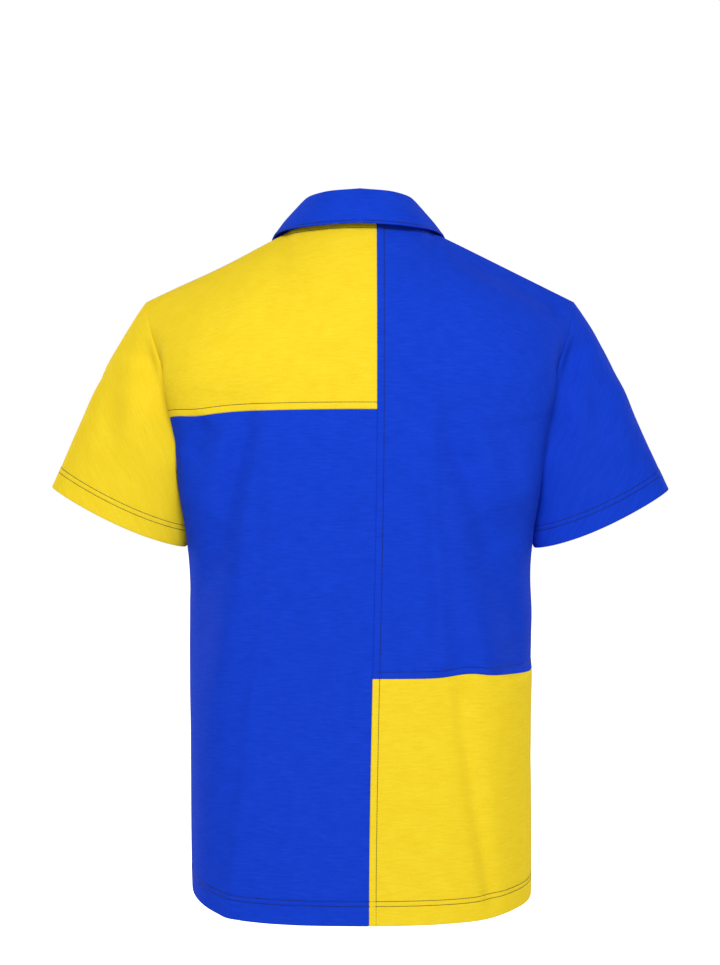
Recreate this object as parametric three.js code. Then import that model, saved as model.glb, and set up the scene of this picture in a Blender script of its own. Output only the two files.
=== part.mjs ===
// Polo shirt, filled out as if worn, with no wearer inside. Millimetres, +Z up, front towards -Y.
// The origin is the middle of the neck opening at the height of the shoulder seams' neck ends.
import * as THREE from "three";

// ---------------------------------------------------------------- driving sizes
const WALL = 1.6; // cloth wall, a single layer
const SEAM = 0.36; // clear gap left between two pieces at a seam
const HEM = -690; // hem at the centre back
const UNDERARM = -262; // foot of the armhole
const BLADE = -150; // last level section; the shoulder dome starts here
const NECK_HALF = 73; // half width of the neck at the shoulder seams
const NECK_BACK = { y: 46, z: 12 }; // centre back of the neck seam, from the neck end of the shoulder
const NECK_FRONT = { y: 66, z: -68 }; // centre front of the neck seam
const SHOULDER_HALF = 220; // half width over both shoulder tips
const SHOULDER_Y = 4; // the shoulder seam sits a little behind the ridge
const SHOULDER_RISE = 39.8; // height of the shoulder line carried on to the middle
const SHOULDER_FALL = 0.495; // its drop for each millimetre outwards
const NECK_SHARE = 0.36; // part of a section's length that ends on the neck
const ARMHOLE = { middle: -163, rise: 100, back: 53, front: 45 };
const SLOT_HALF = 12.5; // half width of the slot behind the placket
const PLACKET_HALF = 16.5; // half width of each placket strip
const PLACKET_FOOT = -196; // foot of the slot
const CUFF = { x: 248.5, z: -289, out: 69, drop: 31, deep: 51, bow: 8 };
const BUTTON = { radius: 5.6, thick: 2.4, hole: 0.9, spread: 1.7 };
const BUTTON_LEVELS = { button_top: -84, button_middle: -131, button_bottom: -178 };

// Level sections of the body: half width, depths, squareness, how far the arm presses the side in,
// the tuck beside the armhole, and how much higher the side runs than the centre.
const SECTIONS = [
  { z: -694, wide: 175.5, back: 123, front: 122, power: 2.4, press: 0, tuck: 0, lift: 13 },
  { z: -600, wide: 175.8, back: 121, front: 121, power: 2.4, press: 0, tuck: 0, lift: 4 },
  { z: -480, wide: 176.5, back: 118, front: 119, power: 2.4, press: 0, tuck: 0, lift: -5 },
  { z: -400, wide: 178, back: 117, front: 119, power: 2.4, press: 0, tuck: 0, lift: -4 },
  { z: -345, wide: 180, back: 118, front: 121, power: 2.45, press: 2, tuck: 0, lift: -3 },
  { z: -300, wide: 187, back: 120, front: 124, power: 2.5, press: 16, tuck: 0, lift: -3 },
  { z: -262, wide: 190, back: 121, front: 126, power: 2.5, press: 18, tuck: 1, lift: -3 },
  { z: -205, wide: 201, back: 121, front: 126, power: 2.5, press: 10, tuck: 9, lift: -11 },
  { z: -150, wide: 212, back: 117, front: 118, power: 2.5, press: 4, tuck: 8, lift: -13 },
];

// Soft folds of the body: path in the front view (x, z), half width, height out (+) or in (-), and
// whether the fold runs on through the hem.
const FOLDS = [
  { side: 1, half: 11, height: 5, hem: true,
    path: [[80, -180], [90, -310], [104, -440], [128, -690]] },
  { side: 1, half: 22, height: -7, hem: true,
    path: [[112, -205], [132, -330], [150, -440], [160, -640]] },
  { side: 1, half: 13, height: 3, hem: false,
    path: [[-72, -185], [-78, -320], [-86, -430], [-88, -480]] },
  { side: 1, half: 22, height: -7, hem: false,
    path: [[-92, -185], [-108, -290], [-128, -400], [-138, -580]] },
  { side: 1, half: 16, height: -2.5, hem: false,
    path: [[-95, -30], [-150, -60], [-205, -95]] },
  { side: -1, half: 13, height: 4, hem: true,
    path: [[96, -215], [104, -340], [112, -470], [118, -690]] },
  { side: -1, half: 18, height: -6, hem: false,
    path: [[128, -215], [140, -340], [148, -470], [150, -600]] },
  { side: -1, half: 13, height: 4, hem: false,
    path: [[-90, -220], [-98, -330], [-104, -450], [-112, -560]] },
  { side: -1, half: 19, height: -6, hem: true,
    path: [[-122, -215], [-134, -330], [-142, -450], [-150, -690]] },
];

// Collar stations from the centre back (0) round to the centre front (1): top of the stand, lower
// edge of the leaf.
const COLLAR = [
  { at: 0, rollX: 0, rollY: 45, rollZ: 42.5, edgeX: 0, edgeY: 65, edgeZ: 11 },
  { at: 0.2, rollX: 36, rollY: 34, rollZ: 39.5, edgeX: 50, edgeY: 51, edgeZ: 8 },
  { at: 0.42, rollX: 57, rollY: 3, rollZ: 31, edgeX: 87, edgeY: 5, edgeZ: 1 },
  { at: 0.6, rollX: 55, rollY: -26, rollZ: 12, edgeX: 91, edgeY: -46, edgeZ: -20 },
  { at: 0.8, rollX: 36, rollY: -50, rollZ: -18, edgeX: 76, edgeY: -88, edgeZ: -68 },
  { at: 1, rollX: 4, rollY: -60, rollZ: -40, edgeX: 47, edgeY: -112, edgeZ: -116 },
];

// Across the collar leaf: share of the way down, how far it stands out, how far it stands up.
const LEAF = [
  { down: 0, out: -1.6, up: 2 },
  { down: 0, out: 0.6, up: 3.4 },
  { down: 0, out: 3.2, up: 1.6 },
  { down: 0.22, out: 4.6, up: 0 },
  { down: 0.6, out: 3.4, up: 0 },
  { down: 1, out: 0, up: 0 },
];

const BLUE = new THREE.MeshStandardMaterial({ color: 0x1a48cc, roughness: 0.85 });
const YELLOW = new THREE.MeshStandardMaterial({ color: 0xf8d52c, roughness: 0.85 });
const NAVY = new THREE.MeshStandardMaterial({ color: 0x15255c, roughness: 0.4 });

// ---------------------------------------------------------------- small maths
const mix = (a, b, t) => a + (b - a) * t;
const clamp = (v, lo, hi) => Math.min(hi, Math.max(lo, v));
const smooth = (t) => clamp(t, 0, 1) ** 2 * (3 - 2 * clamp(t, 0, 1));

// Smooth reading of one column of a table whose rows are ordered by `key`.
function read(table, key, column, at) {
  const last = table.length - 1;
  let i = 0;
  while (i < last - 1 && at > table[i + 1][key]) i += 1;
  const t = clamp((at - table[i][key]) / (table[i + 1][key] - table[i][key]), 0, 1);
  const slope = (k) => {
    const a = Math.max(0, k - 1);
    const b = Math.min(last, k + 1);
    return (table[b][column] - table[a][column]) / (table[b][key] - table[a][key]);
  };
  const step = table[i + 1][key] - table[i][key];
  const p = table[i][column];
  const q = table[i + 1][column];
  const u = t * t * (3 - 2 * t);
  return (
    p * (1 - u) + q * u
    + slope(i) * step * t * (1 - t) ** 2
    - slope(i + 1) * step * t * t * (1 - t)
  );
}

function hermite(p, m, q, n, t) {
  const u = t * t * (3 - 2 * t);
  return p * (1 - u) + m * t * (1 - t) ** 2 + q * u - n * t * t * (1 - t);
}

// ---------------------------------------------------------------- body form
// Half depth of the armhole at a height: an oval with its foot at the underarm.
function armholeDepth(side, z) {
  if (z <= UNDERARM) return 0;
  const t = Math.abs((z - ARMHOLE.middle) / ARMHOLE.rise);
  const deep = side > 0 ? ARMHOLE.back : ARMHOLE.front;
  return z > ARMHOLE.middle ? deep : deep * (1 - Math.min(1, t) ** 2.2) ** 0.6;
}

// One level section from the centre line round to y = 0, with running lengths; `stop` is the
// length at which the cloth ends, on the side seam or on the armhole.
const sectionCache = new Map();
function section(side, z) {
  const key = `${side}:${z}`;
  if (sectionCache.has(key)) return sectionCache.get(key);
  const wide = read(SECTIONS, "z", "wide", z);
  const deep = read(SECTIONS, "z", side > 0 ? "back" : "front", z);
  const power = read(SECTIONS, "z", "power", z);
  const press = read(SECTIONS, "z", "press", z);
  const tuck = read(SECTIONS, "z", "tuck", z);
  const edge = armholeDepth(side, z);
  const points = [];
  const steps = 90;
  let length = 0;
  let stop = 0;
  for (let i = 0; i <= steps; i += 1) {
    const angle = (i / steps) * (Math.PI / 2);
    const y = deep * Math.max(0, Math.cos(angle)) ** (2 / power);
    let x = wide * Math.sin(angle) ** (2 / power);
    x -= press * Math.exp(-((y / 34) ** 2));
    x -= tuck * smooth((edge + 24 - y) / 24) * (edge > 0 ? 1 : 0);
    const before = points[i - 1];
    if (i > 0) length += Math.hypot(x - before.x, y - before.y);
    points.push({ x, y, length });
    if (i > 0 && y <= edge && before.y > edge) {
      stop = mix(before.length, length, (before.y - edge) / (before.y - y));
    }
  }
  const found = { points, length, stop: edge > 0 ? stop : length };
  sectionCache.set(key, found);
  return found;
}

// Columns keep their distance from the centre line; the outer ones close up beside the armhole.
function onSection(side, z, u) {
  const { points, length, stop } = section(side, z);
  const want = clamp(u, 0, 1) * length - (length - stop) * smooth((u - 0.45) / 0.55);
  let i = 0;
  while (i < points.length - 2 && points[i + 1].length < want) i += 1;
  const a = points[i];
  const b = points[i + 1];
  const t = clamp((want - a.length) / (b.length - a.length), 0, 1);
  return { x: mix(a.x, b.x, t), y: mix(a.y, b.y, t) };
}

// The top edge: neck seam, then shoulder seam, by the same share.
function topPoint(side, u) {
  if (u >= NECK_SHARE) {
    const x = mix(NECK_HALF, SHOULDER_HALF, (u - NECK_SHARE) / (1 - NECK_SHARE));
    return { x, y: side * SHOULDER_Y, z: SHOULDER_RISE - SHOULDER_FALL * x };
  }
  const turn = (u / NECK_SHARE) * (Math.PI / 2);
  const neck = side > 0 ? NECK_BACK : NECK_FRONT;
  const foot = SHOULDER_RISE - SHOULDER_FALL * NECK_HALF;
  const deep = neck.y * Math.cos(turn) ** 1.05;
  return {
    x: NECK_HALF * Math.sin(turn),
    y: side * SHOULDER_Y + deep,
    z: foot + (neck.z - foot) * Math.cos(turn) ** 1.4,
  };
}

// Rounded top edge near the neck end of the shoulder seam.
function topEdge(side, u) {
  const reach = Math.min(0.05, 0.6 * Math.abs(1 - u), 0.6 * Math.abs(u));
  const sum = { x: 0, y: 0, z: 0 };
  const weights = [1, 2, 3, 2, 1];
  weights.forEach((w, k) => {
    const p = topPoint(side, u + ((k - 2) / 2) * reach);
    sum.x += (p.x * w) / 9;
    sum.y += (p.y * w) / 9;
    sum.z += (p.z * w) / 9;
  });
  return sum;
}

// Height of all folds together at a place on one side of the body.
function foldHeight(side, x, z) {
  let total = 0;
  for (const { side: own, half, height, hem, path } of FOLDS) {
    if (own !== side) continue;
    let best = Infinity;
    let along = 0;
    const legs = path.length - 1;
    for (let i = 0; i < legs; i += 1) {
      const [ax, az] = path[i];
      const dx = path[i + 1][0] - ax;
      const dz = path[i + 1][1] - az;
      const t = clamp(((x - ax) * dx + (z - az) * dz) / (dx * dx + dz * dz), 0, 1);
      const gap = Math.hypot(x - ax - dx * t, z - az - dz * t);
      if (gap < best) {
        best = gap;
        along = (i + t) / legs;
      }
    }
    const fade = smooth(along / 0.3) * (hem ? 1 : smooth((1 - along) / 0.35));
    total += height * fade * Math.exp(-((best / half) ** 2));
  }
  return total;
}

// Body surface without folds. side: +1 back, -1 front; s: -1 wearer's right to +1 left edge;
// h: height label, HEM at the hem, BLADE where the dome starts, 0 on the neck and shoulder seams.
function bodyForm(side, s, h) {
  const u = Math.abs(s);
  const sign = s < 0 ? -1 : 1;
  const level = Math.min(h, BLADE);
  const ring = onSection(side, level, u);
  const lift = read(SECTIONS, "z", "lift", level) * u ** 2;
  let { x, y } = ring;
  let z = level + lift;
  if (h > BLADE) {
    const t = (h - BLADE) / -BLADE;
    const top = topEdge(side, u);
    const neck = smooth((0.55 - u) / 0.45);
    const rise = top.z - z;
    const deep = y - top.y;
    const leanStart = side > 0 ? 0 : -0.16 * neck;
    const outEnd = mix(1.6, side > 0 ? 1.15 : 1.0, neck);
    const upEnd = mix(side > 0 ? 0.12 : -0.1, side > 0 ? 0.8 : 1.0, neck);
    z = hermite(z, rise * 1.5, top.z, rise * upEnd, t);
    y = hermite(y, leanStart * rise * 1.5, top.y, -deep * outEnd, t);
    x = mix(x, top.x, 1 - (1 - t) ** 1.8);
  }
  return new THREE.Vector3(sign * x, side * y, z);
}

function bodyNormal(side, s, h) {
  const ds = 0.004;
  const dh = 2;
  const a = bodyForm(side, clamp(s - ds, -1, 1), h);
  const b = bodyForm(side, clamp(s + ds, -1, 1), h);
  const c = bodyForm(side, s, Math.max(h - dh, HEM - 4));
  const d = bodyForm(side, s, Math.min(h + dh, 0));
  return b.sub(a).cross(d.sub(c)).multiplyScalar(-side).normalize();
}

function folded(side, s, h) {
  const p = bodyForm(side, s, h);
  const edge = smooth((1 - Math.abs(s)) / 0.14) * smooth((0 - h) / 30);
  return p.addScaledVector(bodyNormal(side, s, h), foldHeight(side, p.x, p.z) * edge);
}

// Body surface with folds, optionally moved out along its own normal, which it carries along.
function bodyPoint(side, s, h, out = 0) {
  const ahead = folded(side, clamp(s + 0.006, -1, 1), h);
  const across = ahead.sub(folded(side, clamp(s - 0.006, -1, 1), h));
  const up = folded(side, s, Math.min(h + 3, 0)).sub(folded(side, s, Math.max(h - 3, HEM - 3)));
  const normal = across.cross(up).multiplyScalar(-side).normalize();
  const p = folded(side, s, h).addScaledVector(normal, out);
  p.normal = normal;
  return p;
}

// Length share of a distance x from the centre line at height h.
function shareAt(side, x, h) {
  let lo = 0;
  let hi = 0.5;
  for (let i = 0; i < 24; i += 1) {
    const mid = (lo + hi) / 2;
    if (bodyForm(side, mid, h).x < Math.abs(x)) lo = mid;
    else hi = mid;
  }
  return Math.sign(x) * lo;
}

// ---------------------------------------------------------------- cloth walls
// A closed wall over a grid of outer points; `keep` leaves cells out, `wrap` joins the last column.
function clothWall(name, material, rows, { wrap = false, keep = () => true, thick = WALL } = {}) {
  const high = rows.length;
  const wide = rows[0].length;
  const cellsWide = wrap ? wide : wide - 1;
  const normals = rows.map((row) => row.map(() => new THREE.Vector3()));
  const kept = (i, j) => i >= 0 && i < high - 1 && (wrap || (j >= 0 && j < cellsWide))
    && keep(i, ((j % wide) + wide) % wide);
  const at = (i, j) => rows[i][j % wide];
  for (let i = 0; i < high - 1; i += 1) {
    for (let j = 0; j < cellsWide; j += 1) {
      if (!kept(i, j)) continue;
      const across = at(i + 1, j + 1).clone().sub(at(i, j));
      const other = at(i + 1, j).clone().sub(at(i, j + 1));
      const n = across.cross(other);
      for (const [di, dj] of [[0, 0], [0, 1], [1, 0], [1, 1]]) normals[i + di][(j + dj) % wide].add(n);
    }
  }
  const positions = [];
  const index = new Map();
  const vertex = (i, j, inner) => {
    const key = `${i}:${j % wide}:${inner}`;
    if (!index.has(key)) {
      const p = at(i, j).clone();
      const { normal, lean } = at(i, j);
      const own = normal ?? normals[i][j % wide].clone().normalize();
      if (lean) own.lerp(lean.normal, lean.share).normalize();
      if (inner) p.addScaledVector(own, -thick);
      index.set(key, positions.length / 3);
      positions.push(p.x, p.y, p.z);
    }
    return index.get(key);
  };
  const faces = [];
  const quad = (a, b, c, d) => faces.push(a, b, c, a, c, d);
  for (let i = 0; i < high - 1; i += 1) {
    for (let j = 0; j < cellsWide; j += 1) {
      if (!kept(i, j)) continue;
      const o = [vertex(i, j, 0), vertex(i, j + 1, 0), vertex(i + 1, j + 1, 0), vertex(i + 1, j, 0)];
      const n = [vertex(i, j, 1), vertex(i, j + 1, 1), vertex(i + 1, j + 1, 1), vertex(i + 1, j, 1)];
      quad(o[0], o[1], o[2], o[3]);
      quad(n[3], n[2], n[1], n[0]);
      if (!kept(i - 1, j)) quad(n[0], n[1], o[1], o[0]);
      if (!kept(i + 1, j)) quad(n[2], n[3], o[3], o[2]);
      if (!kept(i, j + 1)) quad(n[1], n[2], o[2], o[1]);
      if (!kept(i, j - 1)) quad(n[3], n[0], o[0], o[3]);
    }
  }
  const geometry = new THREE.BufferGeometry();
  geometry.setAttribute("position", new THREE.Float32BufferAttribute(positions, 3));
  geometry.setIndex(faces);
  geometry.computeVertexNormals();
  const mesh = new THREE.Mesh(geometry, material);
  mesh.name = name;
  return mesh;
}

// Shares of the columns from the centre line out; the first ones are shared with the collar.
const NECK_COLUMNS = [0, 0.06, 0.12, 0.18, 0.24, 0.3, 0.36];
const SIDE_COLUMNS = [0.46, 0.57, 0.68, 0.79, 0.88, 0.95, 1];
// Heights of the rows beside the armhole, shared by every piece that meets there.
const ARMHOLE_ROWS = [UNDERARM, -257, -249, -236, -218, -196, -175, -150, -120, -88, -56, -28, -10, 0];
const levels = (from, to, count) => Array.from({ length: count + 1 }, (_, i) => mix(from, to, i / count));

// ---------------------------------------------------------------- back panels
// The centre back seam wanders a little off the middle, further at the neck.
const backSeamX = (h) => mix(-9, -17, smooth((h - HEM) / (BLADE - HEM)));
const leftCross = -175;
const rightCross = -443;

function backPanel(name, material, left, heights) {
  const rows = heights.map((h) => {
    const seam = shareAt(1, backSeamX(h), h);
    const shares = left
      ? [seam + SEAM / 500, ...NECK_COLUMNS, ...SIDE_COLUMNS]
      : [seam - SEAM / 500, ...[...NECK_COLUMNS.slice(2), ...SIDE_COLUMNS].map((u) => -u)].reverse();
    return shares.map((s) => bodyPoint(1, s, h)).reverse();
  });
  return clothWall(name, material, rows);
}

const group = new THREE.Group();
group.name = "polo_shirt";
const half = SEAM / 2;
const below = ARMHOLE_ROWS.filter((h) => h < leftCross);
const above = ARMHOLE_ROWS.filter((h) => h > leftCross);
const lowerLeft = [...levels(HEM, UNDERARM, 17).slice(0, -1), ...below, leftCross - half];
const lowerRight = levels(HEM, rightCross - half, 10);
const upperRight = [...levels(rightCross + half, UNDERARM, 8).slice(0, -1), ...ARMHOLE_ROWS];
group.add(backPanel("back_left_lower", BLUE, true, lowerLeft));
group.add(backPanel("back_left_upper", YELLOW, true, [leftCross + half, ...above]));
group.add(backPanel("back_right_lower", YELLOW, false, lowerRight));
group.add(backPanel("back_right_upper", BLUE, false, upperRight));

// ---------------------------------------------------------------- front
// One piece with a slot at the centre front, open at the neck. Its side edges stop a seam short.
const frontHeights = [...levels(HEM, UNDERARM, 15).slice(0, -1), ...ARMHOLE_ROWS];
const frontRows = frontHeights.map((h) => {
  const slot = shareAt(-1, SLOT_HALF, h);
  const level = Math.min(h, -0.01);
  const edge = 1 - (h <= UNDERARM ? SEAM : 0) / 250;
  const half = [slot, ...NECK_COLUMNS.slice(2), ...SIDE_COLUMNS.slice(0, -1), edge];
  const shares = [...half.map((u) => -u).reverse(), ...half];
  return shares.map((s) => {
    const p = bodyPoint(-1, s, level);
    const drop = smooth((Math.abs(s) - NECK_SHARE) / 0.02) * smooth((h + 1) / 1);
    p.y -= drop * SEAM;
    return p;
  });
});
const footRow = frontHeights.indexOf(PLACKET_FOOT);
const slotColumn = frontRows[0].length / 2 - 1;
const notSlot = (i, j) => !(i >= footRow && j === slotColumn);
group.add(clothWall("front", BLUE, frontRows, { keep: notSlot }));

// ---------------------------------------------------------------- placket
function placketStrip(name, out, top, foot, half) {
  const heights = [foot, ...ARMHOLE_ROWS.filter((h) => h > foot + 1 && h < top - 1), top];
  const rows = heights.map((h) => {
    const share = shareAt(-1, half, h);
    return levels(-share, share, 3).map((s) => bodyPoint(-1, s, h, out));
  });
  return clothWall(name, BLUE, rows);
}
group.add(placketStrip("placket_over", WALL + SEAM, -1.5, PLACKET_FOOT - 5, PLACKET_HALF));
group.add(placketStrip("placket_under", -WALL - SEAM, -3, PLACKET_FOOT - 5, PLACKET_HALF));

// ---------------------------------------------------------------- collar
const NECK_END = 0.42; // collar station at the shoulder seam
const FRONT_GAP = 3; // half gap between the collar's two ends
const COLLAR_RIGHT = 0.965; // the collar's right half lies a little closer

function neckSeam(at) {
  const side = at <= NECK_END ? 1 : -1;
  const u = at <= NECK_END
    ? (at / NECK_END) * NECK_SHARE
    : ((1 - at) / (1 - NECK_END)) * NECK_SHARE;
  const own = topEdge(side, u);
  const other = topEdge(-side, u);
  const share = 0.5 * smooth((0.05 - Math.abs(at - NECK_END)) / 0.05);
  return {
    x: mix(own.x, other.x, share),
    y: mix(own.y, -other.y, share),
    z: mix(own.z, other.z, share),
  };
}

function collarStation(at) {
  const side = at <= NECK_END ? 1 : -1;
  const seam = neckSeam(at);
  const value = (column) => read(COLLAR, "at", column, at);
  const foot = new THREE.Vector3(Math.max(seam.x, FRONT_GAP), side * seam.y, seam.z + 1.1);
  const rollX = Math.max(value("rollX"), at > 0.5 ? FRONT_GAP : 0);
  const roll = new THREE.Vector3(rollX, value("rollY"), value("rollZ"));
  const edge = new THREE.Vector3(value("edgeX"), value("edgeY"), value("edgeZ"));
  const away = new THREE.Vector3(roll.x * 0.9, roll.y, 0);
  if (at > 0.93) away.x = 0.5;
  return { foot, roll, edge, away: away.normalize() };
}

function collarWall(name, across, thick) {
  const toNeck = NECK_COLUMNS.map((u) => (u / NECK_SHARE) * NECK_END);
  const toFront = NECK_COLUMNS.map((u) => 1 - (u / NECK_SHARE) * (1 - NECK_END)).reverse();
  const half = [...toNeck, ...toFront.slice(1)];
  const stations = [...half.slice(1).reverse().map((at) => [at, -1]), ...half.map((at) => [at, 1])];
  const columns = stations.map(([at, sign]) => across(collarStation(at)).map((p) => {
    p.x *= sign > 0 ? 1 : -COLLAR_RIGHT;
    return p;
  }));
  const rows = columns[0].map((_, i) => columns.map((column) => column[i]));
  return clothWall(name, BLUE, rows, { thick });
}

group.add(collarWall("collar_stand", ({ foot, roll }) => [
  foot.clone(),
  foot.clone().lerp(roll, 0.5),
  roll.clone(),
].reverse(), WALL));
group.add(collarWall("collar_leaf", ({ roll, edge, away }) => LEAF.map((row) => {
  const p = roll.clone().lerp(edge, row.down).addScaledVector(away, row.out);
  p.z += row.up;
  return p;
}), WALL));

// ---------------------------------------------------------------- sleeves

// Turns round the sleeve at which its columns start, one for each row of the armhole edge.
function armholeTurns(side) {
  const points = [...ARMHOLE_ROWS].reverse().map((h) => bodyForm(side, 1, h));
  const lengths = [0];
  for (let i = 1; i < points.length; i += 1) {
    lengths.push(lengths[i - 1] + points[i].distanceTo(points[i - 1]));
  }
  const all = lengths[lengths.length - 1];
  return points.map((start, i) => {
    const h = [...ARMHOLE_ROWS].reverse()[i];
    return { start, side, share: lengths[i] / all, normal: bodyNormal(side, 1, h) };
  });
}

// Sleeve surface below one armhole point: share 0 at the shoulder tip, 1 at the underarm; t down.
function sleevePoint({ start: from, side, share }, t) {
  const angle = share * Math.PI;
  const start = from.clone();
  const round = Math.sin(angle);
  const end = new THREE.Vector3(
    CUFF.x + CUFF.out * Math.cos(angle),
    side * CUFF.deep * round ** 0.92,
    CUFF.z + CUFF.drop * Math.cos(angle),
  );
  end.x -= 0.4 * CUFF.bow * round ** 2;
  end.z -= 0.92 * CUFF.bow * round ** 2;
  const length = start.distanceTo(end);
  const top = smooth((share < 0.5 ? 0.5 - share : 0) / 0.5);
  const under = smooth((share - 0.5) / 0.5);
  const lead = new THREE.Vector3(
    mix(mix(0.72, 0.6, top), 0.34, under),
    side * 0.2 * round * (1 - under),
    mix(mix(-0.66, -0.8, top), -0.99, under),
  ).normalize().multiplyScalar(length * 0.95);
  const tail = new THREE.Vector3(0.42, 0, -0.91).multiplyScalar(length * 0.95);
  start.addScaledVector(lead.clone().normalize(), SEAM * (1 + 0.6 * under));
  start.x += 0.9 * under;
  return new THREE.Vector3(
    hermite(start.x, lead.x, end.x, tail.x, t),
    hermite(start.y, lead.y, end.y, tail.y, t),
    hermite(start.z, lead.z, end.z, tail.z, t),
  );
}

function sleeve(name, material, sign) {
  const back = armholeTurns(1);
  const front = armholeTurns(-1).slice(1, -1).reverse();
  const rows = levels(0, 1, 8).map((t) => {
    const row = [...back, ...front].map((turn) => {
      const p = sleevePoint(turn, t);
      const normal = turn.normal.clone();
      p.x *= sign;
      normal.x *= sign;
      if (t === 0) p.lean = { normal, share: 1 - smooth((turn.share - 0.12) / 0.2) };
      return p;
    });
    return sign < 0 ? row.reverse() : row;
  });
  return clothWall(name, material, rows.reverse(), { wrap: true });
}
group.add(sleeve("sleeve_left", YELLOW, 1));
group.add(sleeve("sleeve_right", BLUE, -1));

// ---------------------------------------------------------------- buttons
// A round button with a low rim and four holes.
function button(name, h) {
  const shape = new THREE.Shape().absarc(0, 0, BUTTON.radius - 0.3, 0, Math.PI * 2);
  for (const [x, y] of [[1, 1], [-1, 1], [1, -1], [-1, -1]]) {
    const hole = new THREE.Path();
    hole.absarc((x * BUTTON.spread) / 1.2, (y * BUTTON.spread) / 1.2, BUTTON.hole, 0, Math.PI * 2, true);
    shape.holes.push(hole);
  }
  const geometry = new THREE.ExtrudeGeometry(shape, {
    depth: BUTTON.thick - 0.6,
    bevelEnabled: true,
    bevelThickness: 0.3,
    bevelSize: 0.3,
    bevelSegments: 1,
    curveSegments: 5,
  });
  const normal = bodyNormal(-1, 0, h);
  const place = bodyPoint(-1, 0, h, 2 * WALL + SEAM + 0.7);
  geometry.applyQuaternion(new THREE.Quaternion().setFromUnitVectors(new THREE.Vector3(0, 0, 1), normal));
  geometry.translate(place.x, place.y, place.z);
  const mesh = new THREE.Mesh(geometry, NAVY);
  mesh.name = name;
  return mesh;
}
for (const [name, z] of Object.entries(BUTTON_LEVELS)) {
  let lo = PLACKET_FOOT;
  let hi = 0;
  for (let i = 0; i < 24; i += 1) {
    const mid = (lo + hi) / 2;
    if (bodyForm(-1, 0, mid).z < z) lo = mid;
    else hi = mid;
  }
  group.add(button(name, lo));
}

export default group;
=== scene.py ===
import math
from bisect import bisect_right

import bmesh
import bpy
from mathutils import Matrix, Vector, noise


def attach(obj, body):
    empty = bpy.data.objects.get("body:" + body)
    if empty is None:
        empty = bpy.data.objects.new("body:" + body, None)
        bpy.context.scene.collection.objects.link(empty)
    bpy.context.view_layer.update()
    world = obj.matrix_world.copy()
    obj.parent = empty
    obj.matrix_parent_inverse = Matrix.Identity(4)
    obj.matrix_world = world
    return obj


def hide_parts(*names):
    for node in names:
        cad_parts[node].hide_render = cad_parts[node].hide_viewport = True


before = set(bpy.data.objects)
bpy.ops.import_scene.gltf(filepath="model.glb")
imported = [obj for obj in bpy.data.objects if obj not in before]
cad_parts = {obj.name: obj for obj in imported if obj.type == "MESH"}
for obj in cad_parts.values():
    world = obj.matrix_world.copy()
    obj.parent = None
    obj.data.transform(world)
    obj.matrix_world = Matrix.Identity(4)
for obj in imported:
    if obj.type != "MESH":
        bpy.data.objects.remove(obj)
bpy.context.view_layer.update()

# ---------------------------------------------------------------- front
# The front is one panel of blue cotton jersey with a slot at the centre for the placket. Shoulder
# and side seams join it to the backs; its hem is turned up inside and held by two stitch rows.
MM = 0.001
JERSEY = 0.9  # thickness of one layer, in millimetres like every length up to the mesh
HEM = -690.0
UNDERARM = -262.0
BLADE = -150.0  # last level section; the shoulder dome starts here
NECK_HALF = 73.0
NECK_DEEP = {1: 46.0, -1: 66.0}
NECK_FOOT = {1: 12.0, -1: -68.0}
NECK_SHARE = 0.36  # part of a section's length that ends on the neck
SHOULDER_HALF = 220.0
SHOULDER_Y = 4.0
SHOULDER_RISE = 39.8
SHOULDER_FALL = 0.495
ARMHOLE_MIDDLE = -163.0
ARMHOLE_RISE = 100.0
ARMHOLE_DEEP = {1: 53.0, -1: 45.0}
ARM_REACH = 34.0  # how far round the arm presses the side in
TUCK_REACH = 24.0
SIDE_START = 0.45  # share of a section from which it belongs to the side
SECTION_STEPS = 240
# The dome over the last level section, behind (1) and in front (-1): how steeply it leaves that
# section, and how it runs in and up where it meets the shoulder seam and then the neck seam.
DOME_START = 1.5
DOME_LEAN = {1: 0.0, -1: -0.16}
DOME_IN = {1: (1.6, 1.15), -1: (1.6, 1.0)}
DOME_UP = {1: (0.12, 0.8), -1: (-0.1, 1.0)}


def table(names, *rows):
    """A short table as named columns."""
    return dict(zip(names.split(), zip(*rows)))


# Level sections: half width, depths behind and in front and how square each of them is, how far the
# arm presses the side in, the tuck beside the armhole, and how much higher the side runs.
BODY = table(
    "z wide back front square round press tuck lift",
    (-694, 173.5, 123, 122, 3.2, 2.45, 0, 0, 13),
    (-600, 174.0, 121, 121, 3.3, 2.45, 0, 0, 4),
    (-480, 174.0, 118, 119, 3.4, 2.45, 0, 0, -5),
    (-400, 175.0, 117, 119, 3.6, 2.45, 0, 0, -4),
    (-345, 175.5, 118, 121, 4.0, 2.5, 2, 0, -3),
    (-300, 180.0, 118, 124, 4.6, 2.55, 13, 0, -3),
    (-262, 185.0, 118, 126, 5.5, 2.55, 15, 4, -3),
    (-205, 190.0, 116, 126, 5.5, 2.6, 9, 13, -11),
    (-150, 202.0, 113, 118, 5.0, 2.6, 4, 13, -13),
)

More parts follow.
